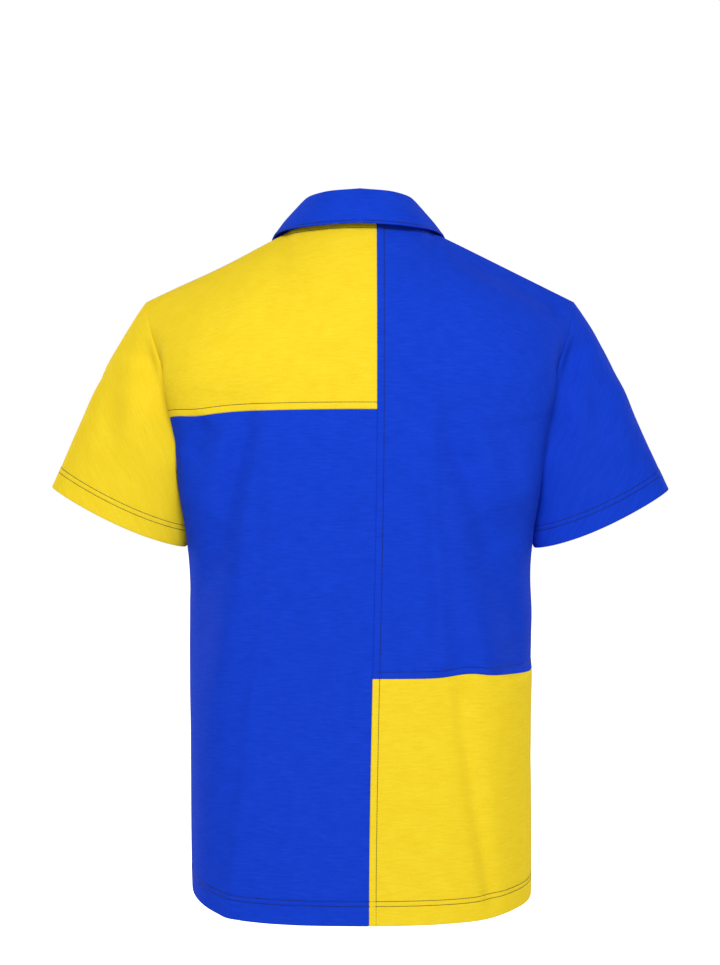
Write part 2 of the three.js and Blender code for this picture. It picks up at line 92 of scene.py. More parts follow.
# Folds of the body: side, half width, height out or in, the shares of the path over which the fold
# comes up and dies away (0 where it runs on through the hem), and its path in the front view.
BODY_FOLDS = (
    (1, 8, 3, 0.15, 0, ((79, -160), (84, -215), (89, -285), (91, -340), (97, -404),
                        (106, -470), (114, -545), (124, -620), (133, -690))),
    (1, 13, 5, 0.3, 0.5, ((124, -170), (136, -215), (149, -255), (158, -300))),
    (1, 10, 5.5, 0.3, 0.1, ((-62, -175), (-70, -245), (-76, -325), (-80, -400), (-84, -446))),
    (1, 13, 5, 0.3, 0.5, ((-112, -170), (-122, -215), (-138, -255), (-150, -300))),
    (1, 12, 3, 0.3, 0, ((-168, -330), (-170, -400), (-170, -540), (-170, -690))),
    (1, 9, -5, 0.1, 0.25, ((-98, -436), (-106, -503), (-113, -550), (-121, -600),
                           (-131, -660), (-135, -690))),
    (1, 14, -6.5, 0.2, 0.1, ((-82, -9), (-130, -34), (-180, -59), (-212, -77))),
    (1, 14, -6, 0.3, 0.3, ((150, -182), (165, -203), (176, -226))),
    (-1, 11, 4, 0.3, 0, ((96, -215), (104, -340), (112, -470), (118, -690))),
    (-1, 20, -11, 0.3, 0.35, ((126, -215), (138, -340), (148, -470), (150, -600))),
    (-1, 11, 4, 0.3, 0.35, ((-90, -220), (-98, -330), (-104, -450), (-112, -560))),
    (-1, 20, -11, 0.3, 0, ((-120, -215), (-134, -330), (-144, -450), (-150, -690))),
)
# Beyond these lines the back falls away towards the arm, in long slopes: half width of the slope,
# how far it falls, the shares over which it starts and ends, and its path.
BACK_SLOPES = (
    (11, -16, 0.55, 0.35, ((95, -125), (99, -165), (106, -205), (116, -245), (125, -284),
                           (133, -335))),
    (17, -21, 0.3, 0.45, ((116, -255), (128, -310), (142, -363), (148, -403), (157, -462),
                          (162, -590))),
    (11, -12, 0.55, 0.35, ((-71, -125), (-76, -165), (-82, -205), (-95, -245), (-109, -284),
                           (-118, -335))),
    (18, -21, 0.3, 0.06, ((-98, -255), (-112, -310), (-129, -363), (-140, -403), (-146, -450))),
)
HEM_LIFT = {1: 12.0, -1: 7.0}  # the hem rises towards its side seams, the left one more
HEM_START = -600.0  # level under which that lift sets in
SHOULDER_DROP = 2.6  # the left shoulder hangs a little lower between its ends


def mix(a, b, t):
    return a + (b - a) * t


def clamp(v, low=0.0, high=1.0):
    return min(high, max(low, v))


def smooth(t):
    t = clamp(t)
    return t * t * (3 - 2 * t)


def bell(gap, half):
    """1 in the middle of a fold or a row of stitches, dying away beside it."""
    return math.exp(-((gap / half) ** 2))


def solve(low, high, too_low):
    """The place between low and high up to which too_low holds."""
    for _ in range(24):
        middle = (low + high) / 2
        if too_low(middle):
            low = middle
        else:
            high = middle
    return low


def hermite(p, m, q, n, t):
    u = t * t * (3 - 2 * t)
    return p * (1 - u) + m * t * (1 - t) ** 2 + q * u - n * t * t * (1 - t)


def step_at(runs, at):
    """Which step of a rising list a value falls in, and how far into that step."""
    i = int(clamp(bisect_right(runs, at) - 1, 0, len(runs) - 2))
    return i, clamp((at - runs[i]) / (runs[i + 1] - runs[i]))


def reading(columns, key, column, at):
    """Smooth reading of one column of a table, at a value of its key column."""
    keys, values = columns[key], columns[column]
    last = len(keys) - 1
    i, t = step_at(keys, at)
    step = keys[i + 1] - keys[i]

    def slope(k):
        a, b = max(0, k - 1), min(last, k + 1)
        return (values[b] - values[a]) / (keys[b] - keys[a])

    return hermite(values[i], slope(i) * step, values[i + 1], slope(i + 1) * step, t)


def armhole_depth(side, z):
    """Half depth of the armhole at a height: an oval with its foot at the underarm."""
    if z <= UNDERARM:
        return 0.0
    if z > ARMHOLE_MIDDLE:
        return ARMHOLE_DEEP[side]
    t = min(1.0, abs((z - ARMHOLE_MIDDLE) / ARMHOLE_RISE))
    return ARMHOLE_DEEP[side] * (1 - t ** 2.2) ** 0.6


sections = {}


def section(side, z):
    """One level section from the centre line round to the side, with running lengths."""
    key = (side, round(z, 1))
    if key in sections:
        return sections[key]
    deep, power = ("back", "square") if side > 0 else ("front", "round")
    wide, deep, power, press, tuck, lift = (
        reading(BODY, "z", name, z) for name in ("wide", deep, power, "press", "tuck", "lift")
    )
    edge = armhole_depth(side, z)
    xs, ys, runs, stop = [], [], [], 0.0
    for i in range(SECTION_STEPS + 1):
        angle = (1 - (1 - i / SECTION_STEPS) ** 1.7) * math.pi / 2  # closer towards the side
        y = deep * max(0.0, math.cos(angle)) ** (2 / power)
        x = wide * math.sin(angle) ** (2 / power) - press * bell(y, ARM_REACH)
        if edge > 0:
            x -= tuck * smooth((edge + TUCK_REACH - y) / TUCK_REACH)
        run = runs[-1] + math.hypot(x - xs[-1], y - ys[-1]) if i else 0.0
        if i and y <= edge < ys[-1]:
            stop = mix(runs[-1], run, (ys[-1] - edge) / (ys[-1] - y))
        xs.append(x)
        ys.append(y)
        runs.append(run)
    sections[key] = (xs, ys, runs, stop if edge > 0 else runs[-1], lift)
    return sections[key]


def cloth_width(side, h):
    """Millimetres of cloth for one whole share, from the centre line to the side."""
    return section(side, min(h, BLADE))[2][-1]


def top_point(side, u):
    """The top edge: the neck seam, then the shoulder seam, by the same share."""
    if u >= NECK_SHARE:
        x = mix(NECK_HALF, SHOULDER_HALF, (u - NECK_SHARE) / (1 - NECK_SHARE))
        return Vector((x, side * SHOULDER_Y, SHOULDER_RISE - SHOULDER_FALL * x))
    turn = u / NECK_SHARE * math.pi / 2
    foot = SHOULDER_RISE - SHOULDER_FALL * NECK_HALF
    return Vector((
        NECK_HALF * math.sin(turn),
        side * SHOULDER_Y + NECK_DEEP[side] * math.cos(turn) ** 1.05,
        foot + (NECK_FOOT[side] - foot) * math.cos(turn) ** 1.4,
    ))


def top_edge(side, u):
    """The top edge, rounded near the neck end of the shoulder seam. Its y is a depth."""
    reach = min(0.05, 0.6 * abs(1 - u), 0.6 * abs(u))
    parts = ((1, -1.0), (2, -0.5), (3, 0.0), (2, 0.5), (1, 1.0))
    return sum((top_point(side, u + k * reach) * (w / 9) for w, k in parts), Vector())


def body_form(side, s, h):
    """The plain form of the body. side is 1 behind and -1 in front; s runs from -1 on the wearer's
    right seam to 1 on the left one; h is HEM at the hem and 0 on the neck and shoulder seams."""
    u = abs(s)
    level = min(h, BLADE)
    xs, ys, runs, stop, lift = section(side, level)
    want = clamp(u) * runs[-1] - (runs[-1] - stop) * smooth((u - SIDE_START) / (1 - SIDE_START))
    i, t = step_at(runs, want)
    x, y, z = mix(xs[i], xs[i + 1], t), mix(ys[i], ys[i + 1], t), level + lift * u * u
    lifted = smooth((u - SIDE_START) / 0.4) * smooth((HEM_START - level) / 80)
    z += HEM_LIFT[1 if s > 0 else -1] * lifted
    if h > BLADE:
        t = (h - BLADE) / -BLADE
        top = top_edge(side, u)
        neck = smooth((0.55 - u) / 0.45)
        steep, deep = (top.z - z) * DOME_START, y - top.y
        z = hermite(z, steep, top.z, (top.z - z) * mix(*DOME_UP[side], neck), t)
        y = hermite(y, DOME_LEAN[side] * neck * steep, top.y, -deep * mix(*DOME_IN[side], neck), t)
        x = mix(x, top.x, 1 - (1 - t) ** 2)
        if s > 0:
            z -= SHOULDER_DROP * t * t * bell(u - 0.65, 0.2)
    return Vector((x if s >= 0 else -x, side * y, z))


def body_normal(side, s, h):
    across = body_form(side, min(s + 0.004, 1), h) - body_form(side, max(s - 0.004, -1), h)
    up = body_form(side, s, min(h + 2, 0)) - body_form(side, s, max(h - 2, HEM - 4))
    return (across.cross(up) * -side).normalized()


def beside(path, rise, die, x, z):
    """Distance to a fold's path, its sign by which side of the path is nearer the arm, and how
    strong the fold is there."""
    best, along, nearer, legs = 1e9, 0.0, 1, len(path) - 1
    for i in range(legs):
        (ax, az), (bx, bz) = path[i], path[i + 1]
        dx, dz = bx - ax, bz - az
        t = clamp(((x - ax) * dx + (z - az) * dz) / (dx * dx + dz * dz))
        gap = math.hypot(x - ax - dx * t, z - az - dz * t)
        if gap < best:
            best, along = gap, (i + t) / legs
            nearer = 1 if abs(x) > abs(ax + dx * t) else -1
    return best * nearer, smooth(along / rise) * (smooth((1 - along) / die) if die else 1)


def fold_height(folds, side, x, z):
    """Height of all the folds together at a place in the front view."""
    total = 0.0
    for own, half, height, rise, die, path in folds:
        if own == side:
            gap, strength = beside(path, rise, die, x, z)
            total += height * strength * bell(gap, half)
    return total


def slope_height(x, z):
    """How far the back has fallen away at a place in the front view."""
    total = 0.0
    for half, height, rise, die, path in BACK_SLOPES:
        if x * path[0][0] > 0:
            gap, strength = beside(path, rise, die, x, z)
            total += height * strength * smooth(0.5 + gap / (2.2 * half))
    return total


def soft_waves(p):
    """The slight unevenness of cloth that hangs free, the same on both sides of a seam."""
    broad = noise.noise(Vector((p.x / 62, p.y / 62, p.z / 105)))
    small = noise.noise(Vector((p.x / 24, p.y / 24 + 9, p.z / 41)))
    return 1.5 * broad + 0.42 * small


def pucker(along, away, reach):
    """Tiny gathers that rows of machine stitches draw into the cloth beside them."""
    return 0.34 * noise.noise(Vector((along / 6.5, away / 30, 2.5))) * bell(away, reach)


HALF_GIRTH = 275.0  # cloth from the centre line to a side seam
HEM_MIDDLE = 22.0  # between the hem's two rows of stitches


def cloth(side, s, h, out=0.0):
    """A place on the finished cloth of the body, moved out along its normal, and that normal."""
    p = body_form(side, s, h)
    normal = body_normal(side, s, h)
    edge = smooth((1 - abs(s)) / 0.1)
    lift = fold_height(BODY_FOLDS, side, p.x, p.z) * edge * smooth(-h / 30)
    free = mix(edge, 1, smooth((UNDERARM - h) / 20))
    lift += soft_waves(p) * free * smooth(-h / 25)
    lift += pucker(s * HALF_GIRTH, h - HEM - HEM_MIDDLE, 12)
    fallen = slope_height(p.x, p.z) * edge if side > 0 else 0.0
    return p + normal * (lift + out) + Vector((0, fallen, 0)), normal


# How an edge of a panel is finished: rows of points near it, and how its face stands there.
EDGE_ROWS = {
    "seam": (0, 0.35, 0.9, 2, 4.5),
    "stitched": (0, 0.35, 0.9, 2, 4, 6.3, 7, 7.7, 10),
    "hem": (3, 7, 12, 17, 19.3, 20, 20.7, 22.5, 24.3, 25, 25.7, 28),
    "cuff": (3, 7, 12, 15.5, 16.8, 17.5, 18.2, 20, 21.8, 22.5, 23.2, 26),
}
SEAM_STITCH = 7  # the row that holds a seam's allowances flat
STITCH_ROWS = {"seam": (), "stitched": (SEAM_STITCH,), "hem": (20, 25), "cuff": (17.5, 22.5)}
LAYERS_RAISE = 0.3
SEAM_DEEP = 0.55
SEAM_REACH = 0.9
STITCH_DRAWN = 0.34
STITCH_REACH = 0.6


def edge_face(kind, gap):
    """How far the face stands out a gap away from an edge: it rolls into a seam, is raised over
    the layers under it, and is drawn in along each row of stitches."""
    rows = STITCH_ROWS[kind]
    face = LAYERS_RAISE * smooth((max(rows) + 1 - gap) / 1.2) if rows else 0.0
    if kind in ("seam", "stitched"):
        face -= (SEAM_DEEP + face) * clamp(1 - gap / SEAM_REACH) ** 2
    return face - sum(STITCH_DRAWN * bell(gap - row, STITCH_REACH) for row in rows)


def ladder(length, start, end, count):
    """Places from 0 to a length: set close at each end, with a count of even steps between."""
    low, high = start[-1], length - end[-1]
    middle = [mix(low, high, i / count) for i in range(1, count)]
    return [*start, *middle, *(length - gap for gap in reversed(end))]


def grid_normals(rows, wrap=False):
    """Normals of a grid of points, from their neighbours down and across."""
    last, wide = len(rows) - 1, len(rows[0])
    found = []
    for i in range(last + 1):
        above, below = rows[max(i - 1, 0)], rows[min(i + 1, last)]
        line = []
        for j in range(wide):
            a, b = max(j - 1, 0), min(j + 1, wide - 1)
            if wrap and j in (0, wide - 1):
                a, b = wide - 2, 1
            line.append((rows[i][b] - rows[i][a]).cross(below[j] - above[j]).normalized())
        found.append(line)
    return found


FOLD_RADIUS = 1.0
FOLD_STEPS = 6
FOLD_CLEAR = 1.2  # least way from the fold to the first row inside


def turn_under(rows, cut, back, wrap=False):
    """Carries a grid round the fold at its last row and back up inside, `back` mm deep."""
    normals = grid_normals(rows, wrap)
    edge, face = rows[-1], normals[-1]
    down = [(edge[j] - rows[-2][j]).normalized() for j in range(len(edge))]
    more, more_cut = [], []
    for k in range(1, FOLD_STEPS + 1):
        a = math.pi * k / FOLD_STEPS
        inwards, ahead = FOLD_RADIUS * (math.cos(a) - 1), FOLD_RADIUS * math.sin(a)
        more.append([p + n * inwards + d * ahead for p, n, d in zip(edge, face, down)])
        more_cut.append([(u, v - FOLD_RADIUS * a) for u, v in cut[-1]])
    for i in range(len(rows) - 2, -1, -1):
        far = (rows[i][0] - edge[0]).length
        if far > back:
            break
        inner = [p - n * (2 * FOLD_RADIUS) for p, n in zip(rows[i], normals[i])]
        if (inner[0] - more[-1][0]).length > FOLD_CLEAR:
            more.append(inner)
            more_cut.append([(u, v - FOLD_RADIUS * math.pi - far) for u, v in cut[-1]])
    return [*rows, *more], [*cut, *more_cut]


def mesh_piece(name, shape, material):
    """A finished piece from its mesh in the making."""
    for face in shape.faces:
        face.smooth = True
    mesh = bpy.data.meshes.new(name)
    shape.to_mesh(mesh)
    shape.free()
    mesh.materials.append(material)
    piece = bpy.data.objects.new(name, mesh)
    bpy.context.scene.collection.objects.link(piece)
    return piece


def work_in(piece, modifier, sharp):
    """Works a modifier into the piece's mesh, whose edges show as such from an angle in degrees."""
    graph = bpy.context.evaluated_depsgraph_get()
    mesh = bpy.data.meshes.new_from_object(piece.evaluated_get(graph))
    piece.modifiers.remove(modifier)
    piece.data = mesh
    mesh.name = piece.name
    mesh.set_sharp_from_angle(angle=math.radians(sharp))
    return mesh


SHARP = 62


def cloth_piece(name, rows, cut, material, wall=JERSEY, wrap=False, leave_out=None):
    """A grid of points, rows going down the cloth, becomes one piece with a wall. cut gives each
    point's place on the flat cut, which is the piece's UV map, in metres."""
    high, wide = len(rows) - 1, len(rows[0]) - 1
    bm = bmesh.new()
    flat = bm.loops.layers.uv.new("cloth")
    bmesh.ops.create_grid(bm, x_segments=wide, y_segments=high, size=0.5)
    place = {
        v: (round((v.co.y + 0.5) * high), round((v.co.x + 0.5) * wide)) for v in bm.verts
    }
    for face in bm.faces:
        for loop in face.loops:
            i, j = place[loop.vert]
            loop[flat].uv = (cut[i][j][0] * MM, cut[i][j][1] * MM)
    for v, (i, j) in place.items():
        v.co = rows[i][j] * MM
    if leave_out:
        gone = [f for f in bm.faces if leave_out(f.calc_center_median() / MM)]
        bmesh.ops.delete(bm, geom=gone, context="FACES")
    if wrap:
        bmesh.ops.remove_doubles(bm, verts=bm.verts, dist=1e-5)
    piece = mesh_piece(name, bm, material)
    shell = piece.modifiers.new("wall", "SOLIDIFY")
    shell.thickness = wall * MM
    shell.offset = -1
    work_in(piece, shell, SHARP)
    return piece


def node(tree, kind, inputs=None, **settings):
    """A shader node with its settings, and each input given a value or a link."""
    made = tree.nodes.new(kind)
    for name, value in settings.items():
        setattr(made, name, value)
    for key, value in (inputs or {}).items():
        if isinstance(value, bpy.types.NodeSocket):
            tree.links.new(value, made.inputs[key])
        else:
            made.inputs[key].default_value = value
    return made


def maths(tree, operation, a, b=0.0, c=0.0):
    return node(tree, "ShaderNodeMath", {0: a, 1: b, 2: c}, operation=operation).outputs[0]


def blend(tree, amount, a, b):
    """One colour turning into another."""
    return node(tree, "ShaderNodeMix", {0: amount, 6: a, 7: b}, data_type="RGBA").outputs[2]


def bumped(tree, height, strength, distance):
    """A face roughened by a height, with its distance in millimetres."""
    return node(tree, "ShaderNodeBump", {
        "Strength": strength, "Distance": distance * MM, "Height": height,
    }).outputs[0]


def surface(name, look):
    """A material from the values and links that look makes for its shader."""
    made = bpy.data.materials.new(name)
    made.use_nodes = True
    tree = made.node_tree
    tree.nodes.clear()
    shader = node(tree, "ShaderNodeBsdfPrincipled", look(tree))
    node(tree, "ShaderNodeOutputMaterial", {"Surface": shader.outputs[0]})
    return made


WALE = 1.05  # width of one column of knit loops
COURSE = 0.8  # height of one row of them


def knit_group():
    """Fine jersey on its own flat cut: cross streaks where the yarn runs thick or thin, a broad
    faint mottle, and rows of small knit loops."""
    tree = bpy.data.node_groups.new("jersey_knit", "ShaderNodeTree")
    sockets = tree.interface
    for name, kind, value in (
        ("Dye", "NodeSocketColor", (0.5, 0.5, 0.5, 1)),
        ("Pale yarn", "NodeSocketColor", (0.6, 0.6, 0.6, 1)),
        ("Deep yarn", "NodeSocketColor", (0.4, 0.4, 0.4, 1)),
        ("Streaks", "NodeSocketFloat", 0.5),
    ):
        sockets.new_socket(name=name, in_out="INPUT", socket_type=kind).default_value = value
    sockets.new_socket(name="Colour", in_out="OUTPUT", socket_type="NodeSocketColor")
    sockets.new_socket(name="Height", in_out="OUTPUT", socket_type="NodeSocketFloat")
    given = tree.nodes.new("NodeGroupInput")
    flat = node(tree, "ShaderNodeUVMap", uv_map="cloth").outputs["UV"]

    def yarn(scale, low, high, shift):
        """Streaks drawn out along a course of loops."""
        at = node(tree, "ShaderNodeMapping", {"Vector": flat, "Location": shift, "Scale": scale})
        grain = node(tree, "ShaderNodeTexNoise", {
            "Vector": at.outputs[0], "Scale": 1.0, "Detail": 2.0, "Roughness": 0.55,
        })
        return node(tree, "ShaderNodeMapRange", {
            "Value": grain.outputs[0], "From Min": low, "From Max": high,
        }).outputs[0]

    pale = yarn((75, 600, 1), 0.42, 0.76, (0, 0, 0))
    deep = yarn((60, 520, 1), 0.44, 0.78, (3, 11, 4))
    mottle = yarn((45, 62, 1), 0.3, 0.7, (5, 2, 9))
    grain = yarn((420, 480, 1), 0.3, 0.7, (8, 1, 6))
    amount = maths(tree, "MULTIPLY", given.outputs["Streaks"], pale)
    lighter = blend(tree, amount, given.outputs["Dye"], given.outputs["Pale yarn"])
    both = maths(tree, "MULTIPLY_ADD", mottle, 0.6, maths(tree, "MULTIPLY_ADD", grain, 0.5, deep))
    amount = maths(tree, "MULTIPLY", given.outputs["Streaks"], both)
    colour = blend(tree, amount, lighter, given.outputs["Deep yarn"])

    split = node(tree, "ShaderNodeSeparateXYZ", {0: flat})
    wale = maths(tree, "FRACT", maths(tree, "MULTIPLY", split.outputs[0], 1 / (WALE * MM)))
    leg = maths(tree, "ABSOLUTE", maths(tree, "MULTIPLY_ADD", wale, 2.0, -1.0))
    course = maths(tree, "MULTIPLY", split.outputs[1], 1 / (COURSE * MM))
    course = maths(tree, "MULTIPLY_ADD", leg, 0.5, course)
    loop = maths(tree, "SINE", maths(tree, "MULTIPLY", course, 2 * math.pi))
    rib = maths(tree, "SUBTRACT", 1.0, maths(tree, "POWER", leg, 3.0))
    loops = maths(tree, "MULTIPLY", rib, maths(tree, "MULTIPLY_ADD", loop, 0.3, 0.7))
    slubs = maths(tree, "MULTIPLY_ADD", pale, 0.9, maths(tree, "MULTIPLY", deep, -0.6))
    height = maths(tree, "MULTIPLY_ADD", loops, 0.55, slubs)
    node(tree, "NodeGroupOutput", {"Colour": colour, "Height": height})
    return tree


JERSEY_KNIT = knit_group()


def jersey(name, dye, pale, deep, streaks):
    """Cotton jersey of one colour, matt all over."""
    def look(tree):
        knit = node(tree, "ShaderNodeGroup", {
            "Dye": (*dye, 1), "Pale yarn": (*pale, 1), "Deep yarn": (*deep, 1),
            "Streaks": streaks,
        }, node_tree=JERSEY_KNIT).outputs
        return {
            "Base Color": knit["Colour"], "Roughness": 0.9, "Specular IOR Level": 0.06,
            "Normal": bumped(tree, knit["Height"], 0.6, 0.12),
        }

    return surface(name, look)


blue_jersey = jersey(
    "blue_jersey_knit", (0.0070, 0.052, 0.625), (0.0135, 0.072, 0.75), (0.0045, 0.040, 0.53), 0.5,
)


def thread_look(tree):
    """Spun polyester thread, its two plies showing as a fine twist."""
    twist = node(tree, "ShaderNodeTexNoise", {
        "Vector": node(tree, "ShaderNodeTexCoord").outputs["Object"], "Scale": 2600.0,
        "Detail": 1.0,
    }).outputs[0]
    return {
        "Base Color": blend(tree, twist, (0.004, 0.006, 0.026, 1), (0.010, 0.014, 0.055, 1)),
        "Roughness": 0.6, "Specular IOR Level": 0.3, "Normal": bumped(tree, twist, 0.5, 0.05),
    }


navy_thread = surface("navy_thread", thread_look)

STITCH_PITCH = 2.9
STITCH = (3.4, 0.66, 0.42)  # length, width and height
STITCH_OUT = 0.12  # how far a stitch's middle lies above the cloth's plain face


def lay_thread(shape, place, along, normal, long, wide, tall):
    """One grain of thread, lying along a direction on a face with that normal."""
    across = normal.cross(along).normalized()
    turn = Matrix((along, across, along.cross(across))).transposed().to_4x4()
    size = Matrix.Diagonal((long / 2 * MM, wide / 2 * MM, tall / 2 * MM, 1))
    matrix = Matrix.Translation(place * MM) @ turn @ size
    bmesh.ops.create_uvsphere(shape, u_segments=6, v_segments=5, radius=1, matrix=matrix)


def stitch_rows(name, paths):
    """Machine stitches along paths of points with normals: short grains of thread, end to end."""
    shape = bmesh.new()
    for path in paths:
        ahead = 0.0
        for (a, normal), (b, _) in zip(path, path[1:]):
            leg = (b - a).length
            while ahead < leg:
                place = a.lerp(b, ahead / leg) + normal * STITCH_OUT
                lay_thread(shape, place, (b - a) / leg, normal, *STITCH)
                ahead += STITCH_PITCH
            ahead -= leg
    return mesh_piece(name, shape, navy_thread)


DOME_CLOTH = 1.22  # cloth for each millimetre of the dome's height label


def cut_place(side, s, h):
    """Where a point of the body lies on its flat cut: across and up, in millimetres."""
    return s * cloth_width(side, h), h if h < BLADE else BLADE + (h - BLADE) * DOME_CLOTH


def body_panel(name, side, material, top, bottom, first, last, kinds, counts, leave_out=None):
    """A panel of the body between two heights and two seams. first and last give the share of each
    seam at a height; kinds finish its top, bottom, first and last edges."""
    top_kind, bottom_kind, first_kind, last_kind = kinds
    down = ladder(top - bottom, EDGE_ROWS[top_kind], EDGE_ROWS[bottom_kind], counts[0])
    if bottom_kind == "hem":
        down.append(top - bottom - 1)
    rows, cut = [], []
    for gap in down:
        h = top - gap
        start, end = first(h), last(h)
        wide = cloth_width(side, h)
        length = (end - start) * wide
        row, flat = [], []
        for across in ladder(length, EDGE_ROWS[first_kind], EDGE_ROWS[last_kind], counts[1]):
            s = clamp(start + across / wide, -1, 1)
            out = edge_face(top_kind, gap) + edge_face(bottom_kind, h - bottom)
            out += edge_face(first_kind, across) + edge_face(last_kind, length - across)
            row.append(cloth(side, s, h + seam_wander(side, s, h), out)[0])
            flat.append(cut_place(side, s, h))
        rows.append(row if side > 0 else row[::-1])
        cut.append(flat if side > 0 else flat[::-1])
    if bottom_kind == "hem":
        rows, cut = turn_under(rows, cut, HEM_TURNED)
    return cloth_piece(name, rows, cut, material, leave_out=leave_out)


HEM_TURNED = 27.0
SLOT_HALF = 12.5
PLACKET_HALF = 16.5
PLACKET_FOOT = -196.0
LEFT_CROSS = -175.0  # the cross seams of the back, on the centre line
RIGHT_CROSS = -443.0
CROSS_SPAN = 270.0  # from the centre line to the side along them


def seam_wander(side, s, h):
    """The cross seams of the back are not quite level: the right one rises over the fold beside it
    and towards the side, and the left one sags where its fold starts."""
    gap = h - (LEFT_CROSS if s > 0 else RIGHT_CROSS)
    if side < 0 or abs(gap) > 90:
        return 0.0
    near, across = bell(gap, 36), s * CROSS_SPAN
    if s > 0:
        return -3.0 * near * bell(across - 165, 38)
    return near * (4 * bell(across + 118, 26) + 5.5 * s * s)


def in_slot(p):
    return abs(p.x) < SLOT_HALF and p.y < 0 and p.z > PLACKET_FOOT


def row_path(side, h, first, last, step=5.0):
    """Points with normals across a panel at one height."""
    wide = cloth_width(side, h)
    count = max(2, int((last - first) * wide / step))
    shares = (mix(first, last, i / count) for i in range(count + 1))
    return [cloth(side, s, h + seam_wander(side, s, h)) for s in shares]


def height_below_neck(side, s, gap):
    """The height whose place on the cloth lies a gap below the top seam."""
    top = body_form(side, s, 0.0)
    return solve(-3 * gap, 0.0, lambda h: (body_form(side, s, h) - top).length >= gap)


def neck_path(side, first, last, count=40):
    """Points with normals along a row of stitches just under the neck seam."""
    shares = [mix(first, last, i / count) for i in range(count + 1)]
    return [cloth(side, s, height_below_neck(side, s, SEAM_STITCH)) for s in shares]


def hem_paths(side, first, last):
    """Both rows of stitches of the hem, across a panel."""
    return [row_path(side, HEM + up, first, last) for up in STITCH_ROWS["hem"]]


front = body_panel(
    "front_panel", -1, blue_jersey, 0.0, HEM, lambda h: -1.0, lambda h: 1.0,
    ("stitched", "hem", "seam", "seam"), (165, 130), in_slot,
)
strip_side = (PLACKET_HALF + 0.5) / cloth_width(-1, 0)
neck_side = NECK_SHARE - 0.01
front_stitches = stitch_rows("front_stitches", [
    *hem_paths(-1, -1, 1), neck_path(-1, -neck_side, -strip_side),
    neck_path(-1, strip_side, neck_side),
])
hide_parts("front")
for piece in (front, front_stitches):
    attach(piece, "root")

# ---------------------------------------------------------------- placket
# Two doubled strips of the same jersey close the slot at the front, the wearer's left one on top.
# The upper strip is stitched round its edges and boxed at its foot, with three upright buttonholes.
STRIP_ROWS = (0, 0.4, 0.9, 1.6, 2.3, 2.7, 3.2, 5)
STRIP_STITCH = 2.5
STRIP_BOX = 14.0
OVER_FACE = 2.0  # height of the upper strip's face over the front's
UNDER_FACE = -1.15
BUTTON_HEIGHTS = {"button_top": -84.0, "button_middle": -131.0, "button_bottom": -178.0}
BUTTONHOLE_HALF = 7.0
BUTTONHOLE_STITCHES = 9  # from its middle to each end
BUTTONHOLE_LIP = 0.95
LIP_STITCH = (1.5, 0.7, 0.5)
BAR_STITCH = (3.4, 0.9, 0.7)
STRIP_WALL = 1.0


def share_at(side, x, h):
    """Share of a place a distance x from the middle of the body."""
    return solve(0.0, 0.5, lambda s: body_form(side, s, h).x < x)


def height_at(side, z):
    """Height label of a level on the centre line."""
    return solve(HEM, 0.0, lambda h: body_form(side, 0.0, h).z < z)


def strip_face(gap):
    """A folded edge that is rounded down, with its row of stitches drawn in."""
    return -1.05 * clamp(1 - gap / 1.5) ** 2 - 0.3 * bell(gap - STRIP_STITCH, 0.5)


strip_foot = PLACKET_FOOT - 5
strip_edge = PLACKET_HALF - STRIP_STITCH


def placket_strip(name, out, top):
    """One doubled strip, its face a height out from the front's."""
    rows, cut = [], []
    for gap in ladder(top - strip_foot, (0, 0.5, 1.2, 3), STRIP_ROWS, 52):
        h = top - gap
        edge = share_at(-1, PLACKET_HALF, h)
        row, flat = [], []
        for across in ladder(2 * PLACKET_HALF, STRIP_ROWS, STRIP_ROWS, 7):
            face = strip_face(min(across, 2 * PLACKET_HALF - across)) + strip_face(h - strip_foot)
            row.append(cloth(-1, edge * (1 - across / PLACKET_HALF), h, out + face)[0])
            flat.append((across - PLACKET_HALF, h))
        rows.append(row)
        cut.append(flat)
    return cloth_piece(name, rows, cut, blue_jersey, wall=STRIP_WALL)


def strip_path(x, h, to_x, to_h):
    """Points with normals along a straight run on the upper strip, by x and height."""
    count = max(2, int(math.hypot(to_x - x, to_h - h) / 4))
    path = []
    for i in range(count + 1):
        at_x, at_h = mix(x, to_x, i / count), mix(h, to_h, i / count)
        share = math.copysign(share_at(-1, abs(at_x), at_h), at_x)
        path.append(cloth(-1, share, at_h, OVER_FACE - 0.1))
    return path


placket_over = placket_strip("placket_over_strip", OVER_FACE, -1.5)
placket_under = placket_strip("placket_under_strip", UNDER_FACE, -3.0)
box_foot = strip_foot + STRIP_STITCH
placket_stitches = stitch_rows("placket_stitches", [
    strip_path(-strip_edge, -2, -strip_edge, box_foot),
    strip_path(strip_edge, -2, strip_edge, box_foot),
    strip_path(-strip_edge, box_foot, strip_edge, box_foot),
    strip_path(-strip_edge, box_foot + STRIP_BOX, strip_edge, box_foot + STRIP_BOX),
])

buttonhole_threads = bmesh.new()
crossways = Vector((1, 0, 0))
for level in BUTTON_HEIGHTS.values():
    middle = height_at(-1, level)
    for i in range(-BUTTONHOLE_STITCHES, BUTTONHOLE_STITCHES + 1):
        h = middle + i * BUTTONHOLE_HALF / BUTTONHOLE_STITCHES
        place, normal = cloth(-1, 0.0, h, OVER_FACE)
        if abs(i) == BUTTONHOLE_STITCHES:
            lay_thread(buttonhole_threads, place, crossways, normal, *BAR_STITCH)
            continue
        for lip in (-BUTTONHOLE_LIP, BUTTONHOLE_LIP):
            lay_thread(buttonhole_threads, place + crossways * lip, crossways, normal, *LIP_STITCH)
buttonholes = mesh_piece("buttonholes", buttonhole_threads, navy_thread)

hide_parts("placket_over")
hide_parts("placket_under")
for piece in (placket_over, placket_under, placket_stitches, buttonholes):
    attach(piece, "root")

